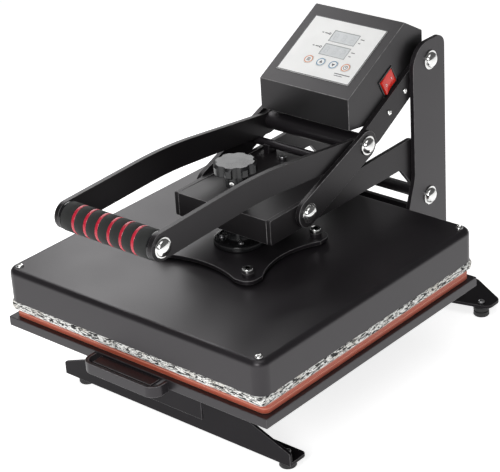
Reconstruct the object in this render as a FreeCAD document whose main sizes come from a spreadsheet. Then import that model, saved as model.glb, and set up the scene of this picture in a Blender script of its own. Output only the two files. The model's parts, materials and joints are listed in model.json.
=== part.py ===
import FreeCAD, Part
import math
import os
import sys
from types import SimpleNamespace

import Sketcher

# Clamshell heat press with a slide-out lower platen, in millimetres.
# +X is the machine's right, +Y its back, +Z up. The floor is Z = 0 and the origin lies
# under the middle of the machine's outline.

SIZES = {
    # platens, the two overall sizes of the working area
    "platen_width": 380.0,
    "platen_depth": 380.0,
    "platen_thickness": 11.8,
    "wrap_thickness": 1.5,
    "wrap_inset": 0.6,
    "tray_overhang_side": 5.4,
    "tray_overhang_front": 1.7,
    "tray_thickness": 11.8,
    "pad_inset_side": 0.2,
    "pad_inset_front": 4.5,
    "pad_thickness": 11.3,
    "pad_corner": 8.0,
    "work_gap": 0.3,
    "tray_lift": 6.9,
    # cover over the heated platen
    "cover_overhang": 2.0,
    "cover_height": 41.0,
    "cover_wall": 1.5,
    "cover_corner": 15.0,
    "cover_edge": 7.0,
    "cover_screw_inset": 12.5,
    "mat_thickness": 31.5,
    "element_radius": 3.5,
    "element_pitch": 80.0,
    # base
    "foot_height": 13.0,
    "foot_radius": 10.0,
    "base_steel": 4.0,
    "front_bar_setback": 56.0,
    "front_bar_half": 174.0,
    "front_bar_end_height": 12.0,
    "front_bar_crown_half": 76.0,
    "front_bar_crown_height": 49.0,
    "front_flange_depth": 29.0,
    "front_foot_x": 156.0,
    "rear_plate_half": 153.0,
    "rear_plate_crown_half": 100.0,
    "rear_reach": 335.0,
    "rear_plate_depth": 67.0,
    "rear_plate_end_depth": 24.0,
    "rear_plate_sweep": 30.0,
    "rear_foot_x": 138.0,
    "rear_foot_y": 286.0,
    "rail_steel": 3.0,
    "rail_width": 28.0,
    "rail_base_height": 49.0,
    "rail_height": 75.0,
    "runner_play": 0.4,
    "runner_flange": 16.0,
    "runner_setback": 12.0,
    "screw_head_radius": 4.2,
    # uprights, arms and levers
    "plate_steel": 5.7,
    "inner_face": 66.0,
    "plate_gap": 0.8,
    "upright_front": 234.0,
    "upright_back": 297.5,
    "upright_top": 358.5,
    "upright_foot_front": 206.0,
    "upright_foot_top": 112.0,
    "upright_waist": 192.0,
    "tie_bar_low": 93.0,
    "tie_bar_high": 124.0,
    "tie_bar_steel": 6.0,
    "tie_bar_inset": 7.0,
    "hinge_y": 263.0,
    "hinge_z": 158.5,
    "lever_pivot_y": 268.0,
    "lever_pivot_z": 333.6,
    "elbow_y": 142.3,
    "elbow_z": 269.0,
    "arm_bolt_y": 32.0,
    "arm_bolt_z": 226.5,
    "arm_front": -28.0,
    "arm_bottom": 208.5,
    "arm_top": 238.0,
    "arm_elbow_back": 240.0,
    "arm_knee": 214.0,
    "link_radius": 17.0,
    "lever_under": 17.5,
    "lever_over": 11.5,
    "grip_y": -197.5,
    "grip_z": 277.9,
    "grip_end_radius": 16.0,
    "lever_bow_y": -40.0,
    "lever_bow_top": 300.5,
    "lever_bow_bottom": 268.5,
    # pivot bolts
    "bolt_radius": 6.0,
    "bolt_play": 0.08,
    "washer_radius": 11.8,
    "washer_thickness": 1.6,
    "dome_radius": 8.8,
    "dome_height": 5.4,
    "bush_wall": 3.0,
    "tube_wall": 1.5,
    "elbow_tube_wall": 5.5,
    # grip
    "foam_radius": 16.5,
    "foam_end_gap": 3.0,
    "ring_width": 4.2,
    "ring_pitch": 17.5,
    "grip_tube_radius": 11.0,
    "grip_bolt_radius": 5.0,
    # pressure beam and screw
    "beam_back": 130.0,
    "beam_steel": 4.0,
    "beam_rear_drop": 14.0,
    "stop_rod_y": 120.0,
    "stop_rod_radius": 5.0,
    "stop_play": 0.4,
    "stop_ear_width": 8.0,
    "stop_ear_depth": 14.0,
    "stop_ear_inset": 14.0,
    "screw_radius": 7.0,
    "nut_half": 18.0,
    "nut_height": 20.0,
    "boss_radius": 30.8,
    "boss_height": 7.0,
    "boss_neck_radius": 14.0,
    "spreader_lift": 3.0,
    "spreader_steel": 4.5,
    "spreader_bolt_x": 63.0,
    "spreader_bolt_y": 60.0,
    "spreader_ear": 14.0,
    "spreader_waist": 62.0,
    "sleeve_radius": 7.0,
    "sleeve_height": 4.5,
    "knob_radius": 25.5,
    "knob_bottom": 271.0,
    "knob_height": 13.0,
    "hub_radius": 12.5,
    "hub_height": 17.0,
    "knob_flutes": 8,
    "flute_radius": 7.5,
    "flute_reach": 28.0,
    # control box
    "case_front": 125.0,
    "case_front_top": 328.5,
    "case_ridge_y": 235.8,
    "case_ridge_z": 387.5,
    "case_back": 269.5,
    "case_back_top": 368.0,
    "case_back_bottom": 316.0,
    "case_front_bottom": 290.0,
    "case_belly_y": 196.0,
    "case_belly_z": 280.0,
    "case_wall": 1.5,
    "case_screw_y": 225.2,
    "case_screw_z": 306.8,
    "case_low_screw_y": 193.6,
    "case_low_screw_z": 290.3,
    "gland_x": -34.0,
    "gland_z": 340.0,
    "transformer_y": 206.0,
    "transformer_z": 312.0,
    "panel_width": 107.0,
    "panel_length": 88.0,
    "panel_start": 18.7,
    "panel_thickness": 0.8,
    "panel_margin": 6.0,
    "board_margin": 9.0,
    "board_depth": 12.0,
    "window_width": 36.6,
    "window_height": 16.8,
    "window_left": -12.5,
    "window_pitch": 21.5,
    "window_row": 34.8,
    "key_radius": 6.2,
    "key_left": -19.9,
    "key_pitch": 18.2,
    "key_row": 23.3,
    "key_play": 0.3,
    "key_rise": 0.4,
    "switch_length": 27.5,
    "switch_width": 23.5,
    "switch_y": 200.0,
    "switch_z": 326.0,
    "bezel_rim": 1.2,
    "rocker_play": 0.6,
    "rocker_pin_radius": 1.2,
    "rocker_pin_reach": 0.4,
    # pull handle
    "pull_half_width": 56.0,
    "pull_reach": 22.5,
    "pull_height": 13.1,
    "pull_steel": 4.0,
    "pull_corner": 14.0,
    "pull_drop": 3.0,
    "tongue_half": 44.0,
    "apron_left": 44.0,
    "apron_right": 94.0,
    "tongue_reach": 15.0,
    "tongue_drop": 3.0,
}

doc = FreeCAD.newDocument("HeatPress")
sheet = doc.addObject("Spreadsheet::Sheet", "Sizes")


class Size:
    """A number together with the sheet formula that gives it."""

    def __init__(self, value, formula):
        self.value = value
        self.formula = formula

    def __add__(self, other):
        other = as_size(other)
        return Size(self.value + other.value, f"({self.formula} + {other.formula})")

    def __sub__(self, other):
        other = as_size(other)
        return Size(self.value - other.value, f"({self.formula} - {other.formula})")

    def __mul__(self, other):
        other = as_size(other)
        return Size(self.value * other.value, f"({self.formula} * {other.formula})")

    def __truediv__(self, other):
        other = as_size(other)
        return Size(self.value / other.value, f"({self.formula} / {other.formula})")

    def __neg__(self):
        return Size(-self.value, f"(0 - {self.formula})")

    def __radd__(self, other):
        return as_size(other) + self

    def __rsub__(self, other):
        return as_size(other) - self

    def __rmul__(self, other):
        return as_size(other) * self


def as_size(number):
    if isinstance(number, Size):
        return number
    return Size(float(number), f"({float(number)})")


def root(size):
    return Size(math.sqrt(size.value), f"sqrt({size.formula})")


def fill_sheet():
    named = {}
    for row, (name, value) in enumerate(SIZES.items(), start=1):
        sheet.set(f"A{row}", name)
        sheet.set(f"B{row}", str(value))
        sheet.setAlias(f"B{row}", name)
        named[name] = Size(value, f"{sheet.Name}.{name}")
    doc.recompute()
    return SimpleNamespace(**named)


d = fill_sheet()
NODES = {}


# ---------------------------------------------------------------- tools for building solids

def bind(solid, prop, size):
    solid.setExpression(prop, as_size(size).formula)


def move(solid, x, y, z):
    for axis, size in zip("xyz", (x, y, z)):
        bind(solid, "Placement.Base." + axis, size)


TURN_TO = {
    "X": FreeCAD.Rotation(FreeCAD.Vector(0, 1, 0), 90),
    "Y": FreeCAD.Rotation(FreeCAD.Vector(1, 0, 0), -90),
    "Z": FreeCAD.Rotation(),
}


def box(name, xs, ys, zs):
    solid = doc.addObject("Part::Box", name)
    for prop, (low, high) in zip(("Length", "Width", "Height"), (xs, ys, zs)):
        bind(solid, prop, as_size(high) - low)
    move(solid, xs[0], ys[0], zs[0])
    return solid


def cylinder(name, axis, start, length, radius):
    """A cylinder from the point start along the axis."""
    solid = doc.addObject("Part::Cylinder", name)
    solid.Placement = FreeCAD.Placement(FreeCAD.Vector(), TURN_TO[axis])
    bind(solid, "Radius", radius)
    bind(solid, "Height", length)
    move(solid, *start)
    return solid


def cut(name, base, *tools):
    for number, tool in enumerate(tools, start=1):
        result = doc.addObject("Part::Cut", name if number == len(tools) else f"{name}_cut{number}")
        result.Base = base
        result.Tool = tool
        base = result
    return base


def fuse(name, *solids):
    result = doc.addObject("Part::MultiFuse", name)
    result.Shapes = list(solids)
    return result


def group(name, *solids):
    """Separate solids kept together as one node."""
    result = doc.addObject("Part::Compound", name)
    result.Links = list(solids)
    return result


def mirrored(name, source):
    """The same piece on the machine's left side."""
    result = doc.addObject("Part::Mirroring", name)
    result.Source = source
    result.Base = (0, 0, 0)
    result.Normal = (1, 0, 0)
    return result


def tube(name, axis, start, length, outer, inner):
    solid = cylinder(name + "_outside", axis, start, length, outer)
    hole = cylinder(name + "_hole", axis, start, length, inner)
    return cut(name, solid, hole)


def origin_plane(body, role):
    for feature in body.Origin.OriginFeatures:
        if feature.Role == role:
            return feature
    raise ValueError(role)


def draw_outline(sketch, points):
    """Straight lines through the points, each held by its distances from the origin."""
    corners = [(as_size(point[0]), as_size(point[1])) for point in points]
    vectors = [FreeCAD.Vector(across.value, up.value, 0) for across, up in corners]
    first = sketch.GeometryCount
    for start, end in zip(vectors, vectors[1:] + vectors[:1]):
        sketch.addGeometry(Part.LineSegment(start, end), False)
    for index, (across, up) in enumerate(corners):
        line = first + index
        following = first + (index + 1) % len(corners)
        sketch.addConstraint(Sketcher.Constraint("Coincident", line, 2, following, 1))
        for kind, size in (("DistanceX", across), ("DistanceY", up)):
            held = sketch.addConstraint(Sketcher.Constraint(kind, -1, 1, line, 1, size.value))
            sketch.setExpression(f"Constraints[{held}]", size.formula)


def draw_circle(sketch, across, up, radius):
    across, up, radius = as_size(across), as_size(up), as_size(radius)
    centre = FreeCAD.Vector(across.value, up.value, 0)
    circle = sketch.addGeometry(Part.Circle(centre, FreeCAD.Vector(0, 0, 1), radius.value), False)
    for kind, size in (("DistanceX", across), ("DistanceY", up)):
        held = sketch.addConstraint(Sketcher.Constraint(kind, -1, 1, circle, 3, size.value))
        sketch.setExpression(f"Constraints[{held}]", size.formula)
    held = sketch.addConstraint(Sketcher.Constraint("Radius", circle, radius.value))
    sketch.setExpression(f"Constraints[{held}]", radius.formula)


def edges_at(shape, plane, across, up):
    """Names of the straight edges that stand on the sketch plane at one corner."""
    pick = {"YZ_Plane": lambda p: (p.y, p.z), "XZ_Plane": lambda p: (p.x, p.z),
            "XY_Plane": lambda p: (p.x, p.y)}[plane]
    names = []
    for number, edge in enumerate(shape.Edges, start=1):
        ends = [pick(vertex.Point) for vertex in edge.Vertexes]
        if len(ends) == 2 and all(math.hypot(a - across, b - up) < 0.01 for a, b in ends):
            names.append(f"Edge{number}")
    return names


def plate(name, plane, points, start, thickness, holes=()):
    """A flat plate: an outline of (across, up, corner radius) points, raised from start.

    Plates on YZ_Plane grow towards +X, on XY_Plane towards +Z and on XZ_Plane towards +Y.
    """
    body = doc.addObject("PartDesign::Body", name)
    sketch = body.newObject("Sketcher::SketchObject", name + "_outline")
    sketch.AttachmentSupport = (origin_plane(body, plane), [""])
    sketch.MapMode = "FlatFace"
    towards = -1.0 if plane == "XZ_Plane" else 1.0
    bind(sketch, "AttachmentOffset.Base.z", as_size(start) * towards)
    draw_outline(sketch, points)
    for hole in holes:
        draw_circle(sketch, *hole)
    pad = body.newObject("PartDesign::Pad", name + "_pad")
    pad.Profile = sketch
    pad.Reversed = plane == "XZ_Plane"
    bind(pad, "Length", thickness)
    doc.recompute()
    last = pad
    rounded = {}
    for point in points:
        if len(point) > 2:
            radius = as_size(point[2])
            rounded.setdefault(radius.formula, (radius, []))[1].append(point)
    for number, (radius, corners) in enumerate(rounded.values(), start=1):
        names = []
        for corner in corners:
            names += edges_at(last.Shape, plane, as_size(corner[0]).value, as_size(corner[1]).value)
        last = add_fillet(body, last, names, radius, f"{name}_round{number}")
    return body


def add_fillet(body, base, edge_names, radius, name):
    fillet = body.newObject("PartDesign::Fillet", name)
    fillet.Base = (base, edge_names)
    bind(fillet, "Radius", radius)
    doc.recompute()
    return fillet


def hollow(body, open_face, wall, name):
    """Turn the body into a shell that is open at one face."""
    solid = body.Tip
    shell = body.newObject("PartDesign::Thickness", name)
    shell.Base = (solid, [open_face])
    shell.Reversed = True
    shell.Join = 1
    bind(shell, "Value", wall)
    body.Tip = shell
    doc.recompute()
    return shell


def face_towards(shape, direction):
    """Name of the flat face that lies furthest along a direction and faces it."""
    best, best_reach = None, None
    for number, face in enumerate(shape.Faces, start=1):
        normal = face.normalAt(0, 0)
        if normal.dot(direction) < 0.99:
            continue
        reach = face.CenterOfMass.dot(direction)
        if best is None or reach > best_reach:
            best, best_reach = f"Face{number}", reach
    return best


def turned(name, axis, start, profile):
    """A turned piece: (radius, distance along the axis) points, spun about the axis."""
    body = doc.addObject("PartDesign::Body", name)
    sketch = body.newObject("Sketcher::SketchObject", name + "_profile")
    sketch.AttachmentSupport = (origin_plane(body, "XZ_Plane"), [""])
    sketch.MapMode = "FlatFace"
    draw_outline(sketch, profile)
    spin = body.newObject("PartDesign::Revolution", name + "_spin")
    spin.Profile = sketch
    spin.ReferenceAxis = (sketch, ["V_Axis"])
    spin.Angle = 360.0
    body.Placement = FreeCAD.Placement(FreeCAD.Vector(), TURN_TO[axis])
    move(body, *start)
    return body


def node(name, solid):
    solid.Label = name
    NODES[name] = solid
    return solid


def pair(name, right):
    """Two separate nodes, the right-hand piece and its mirror image on the left."""
    node(name + "_right", right)
    node(name + "_left", mirrored(name + "_left_mirror", right))


def both_sides(name, right):
    """One node that holds the right-hand piece and its mirror image."""
    return node(name, group(name + "_pair", right, mirrored(name + "_other", right)))


# ---------------------------------------------------------------- heights and places

SET_OUT_DEPTH = 380.0    # the machine's places were set out for a platen this deep

tray_half_x = d.platen_width / 2 + d.tray_overhang_side
tray_half_y = d.platen_depth / 2 + d.tray_overhang_front
front_reach = tray_half_y + d.pull_reach
rear_reach = d.platen_depth / 2 + d.rear_reach - SET_OUT_DEPTH / 2
middle = (front_reach - rear_reach) / 2    # Y of the platen's middle
hinge_shift = middle + (d.platen_depth - SET_OUT_DEPTH) / 2


def back(y):
    """Y of a place set out from the platen's middle; the machine's back follows the depth."""
    return hinge_shift + y


base_top = d.foot_height + d.base_steel
rail_top = base_top + d.rail_height
ledge_z = base_top + d.rail_base_height
tray_bottom = rail_top + d.tray_lift
tray_top = tray_bottom + d.tray_thickness
pad_top = tray_top + d.pad_thickness
heat_bottom = pad_top + d.work_gap
heat_top = heat_bottom + d.platen_thickness
cover_top = heat_top + d.cover_height
cover_half_x = d.platen_width / 2 + d.cover_overhang
cover_half_y = d.platen_depth / 2 + d.cover_overhang
arm_out = d.inner_face + d.plate_steel
outer_in = arm_out + d.plate_gap
outer_out = outer_in + d.plate_steel
front_bar_y = middle - d.platen_depth / 2 + d.front_bar_setback
hinge = (back(d.hinge_y), d.hinge_z)
lever_pivot = (back(d.lever_pivot_y), d.lever_pivot_z)
elbow = (back(d.elbow_y), d.elbow_z)
arm_bolt = (back(d.arm_bolt_y), d.arm_bolt_z)
grip = (back(d.grip_y), d.grip_z)
bolt_hole = d.bolt_radius + d.bolt_play
grip_hole = d.grip_bolt_radius + d.bolt_play


# ---------------------------------------------------------------- base

def make_base():
    end_height = base_top + d.front_bar_end_height
    crown = base_top + d.front_bar_crown_height
    web = plate("front_web", "XZ_Plane", [
        (-d.front_bar_half, d.foot_height), (d.front_bar_half, d.foot_height),
        (d.front_bar_half, end_height, 3), (d.front_bar_crown_half, crown, 6),
        (-d.front_bar_crown_half, crown, 6), (-d.front_bar_half, end_height, 3),
    ], front_bar_y, d.base_steel)
    flange_back = front_bar_y + d.front_flange_depth
    flange = plate("front_flange", "XY_Plane", [
        (-d.front_bar_half, front_bar_y), (d.front_bar_half, front_bar_y),
        (d.front_bar_half, flange_back, 6), (-d.front_bar_half, flange_back, 6),
    ], d.foot_height, d.base_steel)
    node("front_cross_bar", fuse("front_angle", web, flange))

    rear_edge = back(d.rear_reach)
    rear_front = rear_edge - d.rear_plate_depth
    end_back = rear_edge - d.rear_plate_sweep
    end_front = end_back - d.rear_plate_end_depth
    node("rear_foot_plate", plate("rear_plate", "XY_Plane", [
        (-d.rear_plate_crown_half, rear_front, 12), (d.rear_plate_crown_half, rear_front, 12),
        (d.rear_plate_half, end_front, 10), (d.rear_plate_half, end_back, 10),
        (d.rear_plate_crown_half, rear_edge, 12), (-d.rear_plate_crown_half, rear_edge, 12),
        (-d.rear_plate_half, end_back, 10), (-d.rear_plate_half, end_front, 10),
    ], d.foot_height, d.base_steel))

    rail_out = outer_in
    rail_in = rail_out - d.rail_width
    web_in = rail_out - d.rail_steel
    rail = plate("slide_rail", "XZ_Plane", [
        (rail_out, base_top), (rail_out, rail_top),
        (rail_in, rail_top), (rail_in, rail_top - d.rail_steel),
        (web_in, rail_top - d.rail_steel), (web_in, ledge_z + d.rail_steel),
        (rail_in, ledge_z + d.rail_steel), (rail_in, ledge_z),
        (web_in, ledge_z), (web_in, base_top + d.rail_steel),
        (rail_in, base_top + d.rail_steel), (rail_in, base_top),
    ], front_bar_y + d.base_steel, back(d.upright_back) - front_bar_y - d.base_steel)
    pair("slide_rail", rail)

    profile = [
        (0, 0), (d.foot_radius - 1.5, 0), (d.foot_radius, 1.5),
        (d.foot_radius, d.foot_height - 2.0), (d.foot_radius - 2.0, d.foot_height),
        (0, d.foot_height),
    ]
    front_foot_y = front_bar_y + d.front_flange_depth / 2 + 2.6
    front_foot = turned("front_foot", "Z", (d.front_foot_x, front_foot_y, 0), profile)
    rear_foot = turned("rear_foot", "Z", (d.rear_foot_x, back(d.rear_foot_y), 0), profile)
    node("rubber_feet", group("feet", front_foot, mirrored("front_foot_left", front_foot),
                              rear_foot, mirrored("rear_foot_left", rear_foot)))
    head = [(0, 0), (d.screw_head_radius, 0), (d.screw_head_radius, 1.2), (2.6, 2.8), (0, 2.8)]
    front_screw = turned("front_screw", "Z", (d.front_foot_x, front_foot_y, base_top), head)
    rear_screw = turned("rear_screw", "Z", (d.rear_foot_x, back(d.rear_foot_y), base_top), head)
    node("foot_screws", group("foot_screw_set", front_screw, mirrored("front_screw_left", front_screw),
                              rear_screw, mirrored("rear_screw_left", rear_screw)))


def make_uprights():
    front, rear = back(d.upright_front), back(d.upright_back)
    foot_front = back(d.upright_foot_front)
    bush_hole = d.bolt_radius + d.bush_wall + 0.05
    upright = plate("upright", "YZ_Plane", [
        (foot_front, base_top), (rear, base_top), (rear, d.upright_top, 14),
        (front, d.upright_top, 30), (front, d.upright_waist, 40), (foot_front, d.upright_foot_top, 20),
    ], outer_in, d.plate_steel, holes=[(*hinge, bush_hole), (*lever_pivot, bush_hole)])
    pair("upright", upright)
    tie_back = rear - d.tie_bar_inset
    node("rear_tie_bar", box("tie_bar", (-outer_in, outer_in), (tie_back - d.tie_bar_steel, tie_back),
                             (d.tie_bar_low, d.tie_bar_high)))

    def bush(name, place):
        return tube(name, "X", (outer_in, *place), d.plate_steel, d.bolt_radius + d.bush_wall, bolt_hole)

    lower, upper = bush("lower_bush", hinge), bush("upper_bush", lever_pivot)
    node("pivot_bushes", group("bush_set", lower, mirrored("lower_bush_left", lower),
                               upper, mirrored("upper_bush_left", upper)))


def dome_profile(shank_length, shank_radius=d.bolt_radius):
    """A pivot bolt with its washer: shank inwards from 0, domed head outwards."""
    washer = d.washer_thickness
    return [
        (0, -shank_length), (shank_radius, -shank_length), (shank_radius, 0.0),
        (d.washer_radius, 0.0), (d.washer_radius, washer - 0.4), (d.washer_radius - 0.4, washer),
        (d.dome_radius, washer), (d.dome_radius, washer + 1.2),
        (d.dome_radius * 0.86, washer + d.dome_height * 0.62),
        (d.dome_radius * 0.55, washer + d.dome_height * 0.9), (0, washer + d.dome_height),
    ]


def pivot_bolt(name, place, face, shank_length):
    return turned(name, "X", (face, *place), dome_profile(shank_length))


def make_pivot_bolts():
    through = 2 * d.plate_steel + d.plate_gap
    both_sides("lower_pivot_bolts", pivot_bolt("lower_bolt", hinge, outer_out, through))
    both_sides("upper_pivot_bolts", pivot_bolt("upper_bolt", lever_pivot, outer_out, through))


# ---------------------------------------------------------------- press arm

def lever_underside(y):
    """Height of the levers' lower edge between the bow and the elbow."""
    end_y, end_z = elbow[0] - 2, elbow[1] - d.grip_end_radius - 0.5
    bow_y = back(d.lever_bow_y)
    return end_z + (d.lever_bow_bottom - end_z) * ((end_y - y) / (end_y - bow_y))


def make_press_arm():
    y, z = hinge
    foot = d.link_radius - 1.0
    arm = plate("arm_plate", "YZ_Plane", [
        (back(d.arm_front), d.arm_bottom, 2), (back(d.arm_knee), d.arm_bottom, 8),
        (y - foot - 2, z + 12, 10), (y - foot, z - foot, 15.5), (y + foot, z - foot, 15.5),
        (y + foot, z + 30, 20), (back(d.arm_elbow_back), d.arm_top + 4, 15),
        (back(d.arm_front), d.arm_top, 2),
    ], d.inner_face, d.plate_steel, holes=[(*hinge, bolt_hole), (*arm_bolt, bolt_hole)])
    pair("arm_plate", arm)

    inside = d.inner_face
    beam_front, beam_back = back(d.arm_front), back(d.beam_back)
    top = box("beam_top", (-inside, inside), (beam_front, beam_back),
              (d.arm_top - d.beam_steel, d.arm_top))
    front = box("beam_front", (-inside, inside), (beam_front, beam_front + d.beam_steel),
                (d.arm_bottom, d.arm_top))
    rear = box("beam_rear", (-inside, inside), (beam_back - d.beam_steel, beam_back),
               (d.arm_top - d.beam_rear_drop, d.arm_top))
    channel = fuse("beam_channel", top, front, rear)
    screw_way = cylinder("beam_screw_way", "Z", (0, middle, d.arm_bottom), 60, d.screw_radius + 1.5)
    node("pressure_beam", cut("beam", channel, screw_way))

    nut_top = d.arm_top - d.beam_steel
    block = box("nut_block", (-d.nut_half, d.nut_half), (middle - d.nut_half, middle + d.nut_half),
                (nut_top - d.nut_height, nut_top))
    thread = cylinder("nut_thread", "Z", (0, middle, nut_top - d.nut_height - 1), 40,
                      d.screw_radius + d.bolt_play)
    node("screw_nut", cut("nut", block, thread))

    node("hinge_tube", tube("hinge_spacer", "X", (-inside, *hinge), 2 * inside,
                            d.bolt_radius + d.tube_wall, bolt_hole))

    rod_y = back(d.stop_rod_y)
    rod_z = lever_underside(rod_y) - d.stop_rod_radius - d.stop_play
    rod = cylinder("stop_rod_bar", "X", (-arm_out, rod_y, rod_z), 2 * arm_out, d.stop_rod_radius)
    ear_x = inside - d.stop_ear_inset
    half_x, half_y = d.stop_ear_width / 2, d.stop_ear_depth / 2
    ears = [box(f"stop_ear{number}", (x - half_x, x + half_x), (rod_y - half_y, rod_y + half_y),
                (d.arm_top, rod_z))
            for number, x in enumerate((-ear_x, ear_x), start=1)]
    node("stop_rod", fuse("stop_rod_set", rod, *ears))


def make_links():
    """Toggle links, from the press arm's front bolt up to the levers' elbow."""
    reach_y, reach_z = elbow[0] - arm_bolt[0], elbow[1] - arm_bolt[1]
    reach = root(reach_y * reach_y + reach_z * reach_z)
    along = (reach_y / reach, reach_z / reach)
    radius = d.link_radius
    step_y, step_z = along[0] * radius, along[1] * radius

    def corner(end, forward, side):
        return (end[0] + step_y * forward - step_z * side, end[1] + step_z * forward + step_y * side,
                radius - 0.1)

    link = plate("link", "YZ_Plane", [
        corner(arm_bolt, -1, -1), corner(elbow, 1, -1), corner(elbow, 1, 1), corner(arm_bolt, -1, 1),
    ], outer_in, d.plate_steel, holes=[(*arm_bolt, bolt_hole), (*elbow, bolt_hole)])
    pair("link", link)
    through = 2 * d.plate_steel + d.plate_gap
    front_bolt = pivot_bolt("front_link_bolt", arm_bolt, outer_out, through)
    elbow_bolt = pivot_bolt("elbow_link_bolt", elbow, outer_out, d.plate_steel)
    node("link_bolts", group("link_bolt_set", front_bolt, mirrored("front_link_bolt_left", front_bolt),
                             elbow_bolt, mirrored("elbow_link_bolt_left", elbow_bolt)))


# ---------------------------------------------------------------- handle lever

def make_levers():
    rise_y, rise_z = lever_pivot[0] - elbow[0], lever_pivot[1] - elbow[1]
    reach = root(rise_y * rise_y + rise_z * rise_z)
    along_y, along_z = rise_y / reach, rise_z / reach

    def beside(place, forward, side):
        return (place[0] + along_y * forward - along_z * side,
                place[1] + along_z * forward + along_y * side)

    end = d.grip_end_radius
    bow_y = back(d.lever_bow_y)
    under, over = d.lever_under, d.lever_over
    lever = plate("lever", "YZ_Plane", [
        (grip[0] - end, grip[1] - end, end - 0.1),
        (bow_y, d.lever_bow_bottom, 500),
        (elbow[0] - 2, elbow[1] - end - 0.5, 30),
        (elbow[0] + end + 15, elbow[1] - 8.0, 14),
        (*beside(lever_pivot, under, -under), over),
        (*beside(lever_pivot, under, over), over),
        (*beside(elbow, 0, over), 30),
        (bow_y, d.lever_bow_top, 600),
        (grip[0] - end, grip[1] + end, end - 0.1),
    ], d.inner_face, d.plate_steel,
        holes=[(*lever_pivot, bolt_hole), (*elbow, bolt_hole), (*grip, grip_hole)])
    pair("lever", lever)
    node("elbow_tube", tube("elbow_spacer", "X", (-d.inner_face, *elbow), 2 * d.inner_face,
                            d.bolt_radius + d.elbow_tube_wall, bolt_hole))


def make_grip():
    inside = d.inner_face
    core = tube("grip_core", "X", (-inside, *grip), 2 * inside, d.grip_tube_radius, grip_hole)
    collar_length = d.foam_end_gap - 0.2
    collars = [tube(f"collar{number}", "X", (x, *grip), collar_length, d.foam_radius - 0.5, grip_hole)
               for number, x in enumerate((-inside, inside - collar_length), start=1)]
    node("grip_tube", fuse("grip_core_set", core, *collars))
    foam_half = inside - d.foam_end_gap
    foam = tube("foam_blank", "X", (-foam_half, *grip), 2 * foam_half, d.foam_radius,
                d.grip_tube_radius + 0.1)
    grooves, rings = [], []
    for number in range(6):
        x = (number - 2.5) * d.ring_pitch - d.ring_width / 2
        grooves.append(tube(f"groove{number + 1}", "X", (x, *grip), d.ring_width,
                            d.foam_radius + 2.0, d.foam_radius - 2.0))
        rings.append(tube(f"ring{number + 1}", "X", (x + 0.1, *grip), d.ring_width - 0.2,
                          d.foam_radius - 0.6, d.foam_radius - 1.9))
    node("grip_foam", cut("foam", foam, *grooves))
    node("grip_rings", group("ring_set", *rings))
    bolt = turned("grip_bolt", "X", (arm_out, *grip), dome_profile(26.0, d.grip_bolt_radius))
    both_sides("grip_bolts", bolt)


# ---------------------------------------------------------------- control box

slope_y = d.case_ridge_y - d.case_front
slope_z = d.case_ridge_z - d.case_front_top
slope_angle = math.degrees(math.atan2(slope_z.value, slope_y.value))
slope_length = root(slope_y * slope_y + slope_z * slope_z)


def on_slope(solid, x, along, above):
    """Lay a piece that was made flat onto the case's sloping face."""
    solid.Placement = FreeCAD.Placement(FreeCAD.Vector(),
                                        FreeCAD.Rotation(FreeCAD.Vector(1, 0, 0), slope_angle))
    step_y, step_z = slope_y / slope_length, slope_z / slope_length
    move(solid, x, back(d.case_front) + step_y * along - step_z * above,
         d.case_front_top + step_z * along + step_y * above)
    return solid


def flat_box(name, size_x, size_y, size_z):
    solid = doc.addObject("Part::Box", name)
    for prop, size in zip(("Length", "Width", "Height"), (size_x, size_y, size_z)):
        bind(solid, prop, size)
    return solid


KEYS = ("key_set", "key_up", "key_down", "key_timer")
WINDOWS = ("window_lower", "window_upper")


def make_case():
    half = d.inner_face - 0.1
    profile = [
        (back(d.case_front), d.case_front_bottom), (back(d.case_belly_y), d.case_belly_z),
        (back(d.case_back), d.case_back_bottom), (back(d.case_back), d.case_back_top),
        (back(d.case_ridge_y), d.case_ridge_z), (back(d.case_front), d.case_front_top),
    ]
    blank = plate("case_blank", "YZ_Plane", profile, -half, 2 * half)
    belly = face_towards(blank.Shape, FreeCAD.Vector(0, -0.14, -0.99))
    hollow(blank, belly, d.case_wall, "case_shell")
    margin = d.panel_margin
    window = flat_box("panel_opening", d.panel_width - 2 * margin, d.panel_length - 2 * margin, 6.0)
    on_slope(window, -(d.panel_width / 2 - margin), d.panel_start + margin, -3.0)
    switch_opening = switch_box("switch_opening", 1.0, half - 4.0, half + 4.0)
    node("control_case", cut("case", blank, window, switch_opening))

    front, belly_y = back(d.case_front), back(d.case_belly_y)
    wall = d.case_wall
    tilt = (d.case_front_bottom - d.case_belly_z) / (belly_y - front)
    play = wall + 0.2
    rear_play = 3 * wall
    base = plate("case_floor", "YZ_Plane", [
        (front + play, d.case_front_bottom - tilt * play),
        (belly_y - rear_play, d.case_belly_z + tilt * rear_play),
        (belly_y - rear_play, d.case_belly_z + tilt * rear_play + wall),
        (front + play, d.case_front_bottom - tilt * play + wall),
    ], -(half - play), 2 * (half - play))
    node("case_base", base)


ROCKER_TILT = 6.0


def switch_box(name, play, low_x, high_x, tilt=0.0):
    """A block as large as the switch and play on each side, square to the sloping face."""
    halves = ((as_size(high_x) - low_x) / 2, d.switch_length / 2 + play, d.switch_width / 2 + play)
    centre = ((as_size(high_x) + low_x) / 2, back(d.switch_y), d.switch_z)
    solid = flat_box(name, halves[0] * 2, halves[1] * 2, halves[2] * 2)
    turn = FreeCAD.Rotation(FreeCAD.Vector(1, 0, 0), slope_angle)
    turn = turn.multiply(FreeCAD.Rotation(FreeCAD.Vector(0, 0, 1), tilt))
    solid.Placement = FreeCAD.Placement(FreeCAD.Vector(), turn)
    sides = [turn.multVec(FreeCAD.Vector(*unit)) for unit in ((1, 0, 0), (0, 1, 0), (0, 0, 1))]
    corner = []
    for axis, place in enumerate(centre):
        for side, half in zip(sides, halves):
            place = place - half * round(side[axis], 9)
        corner.append(place)
    move(solid, *corner)
    return solid


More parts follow.
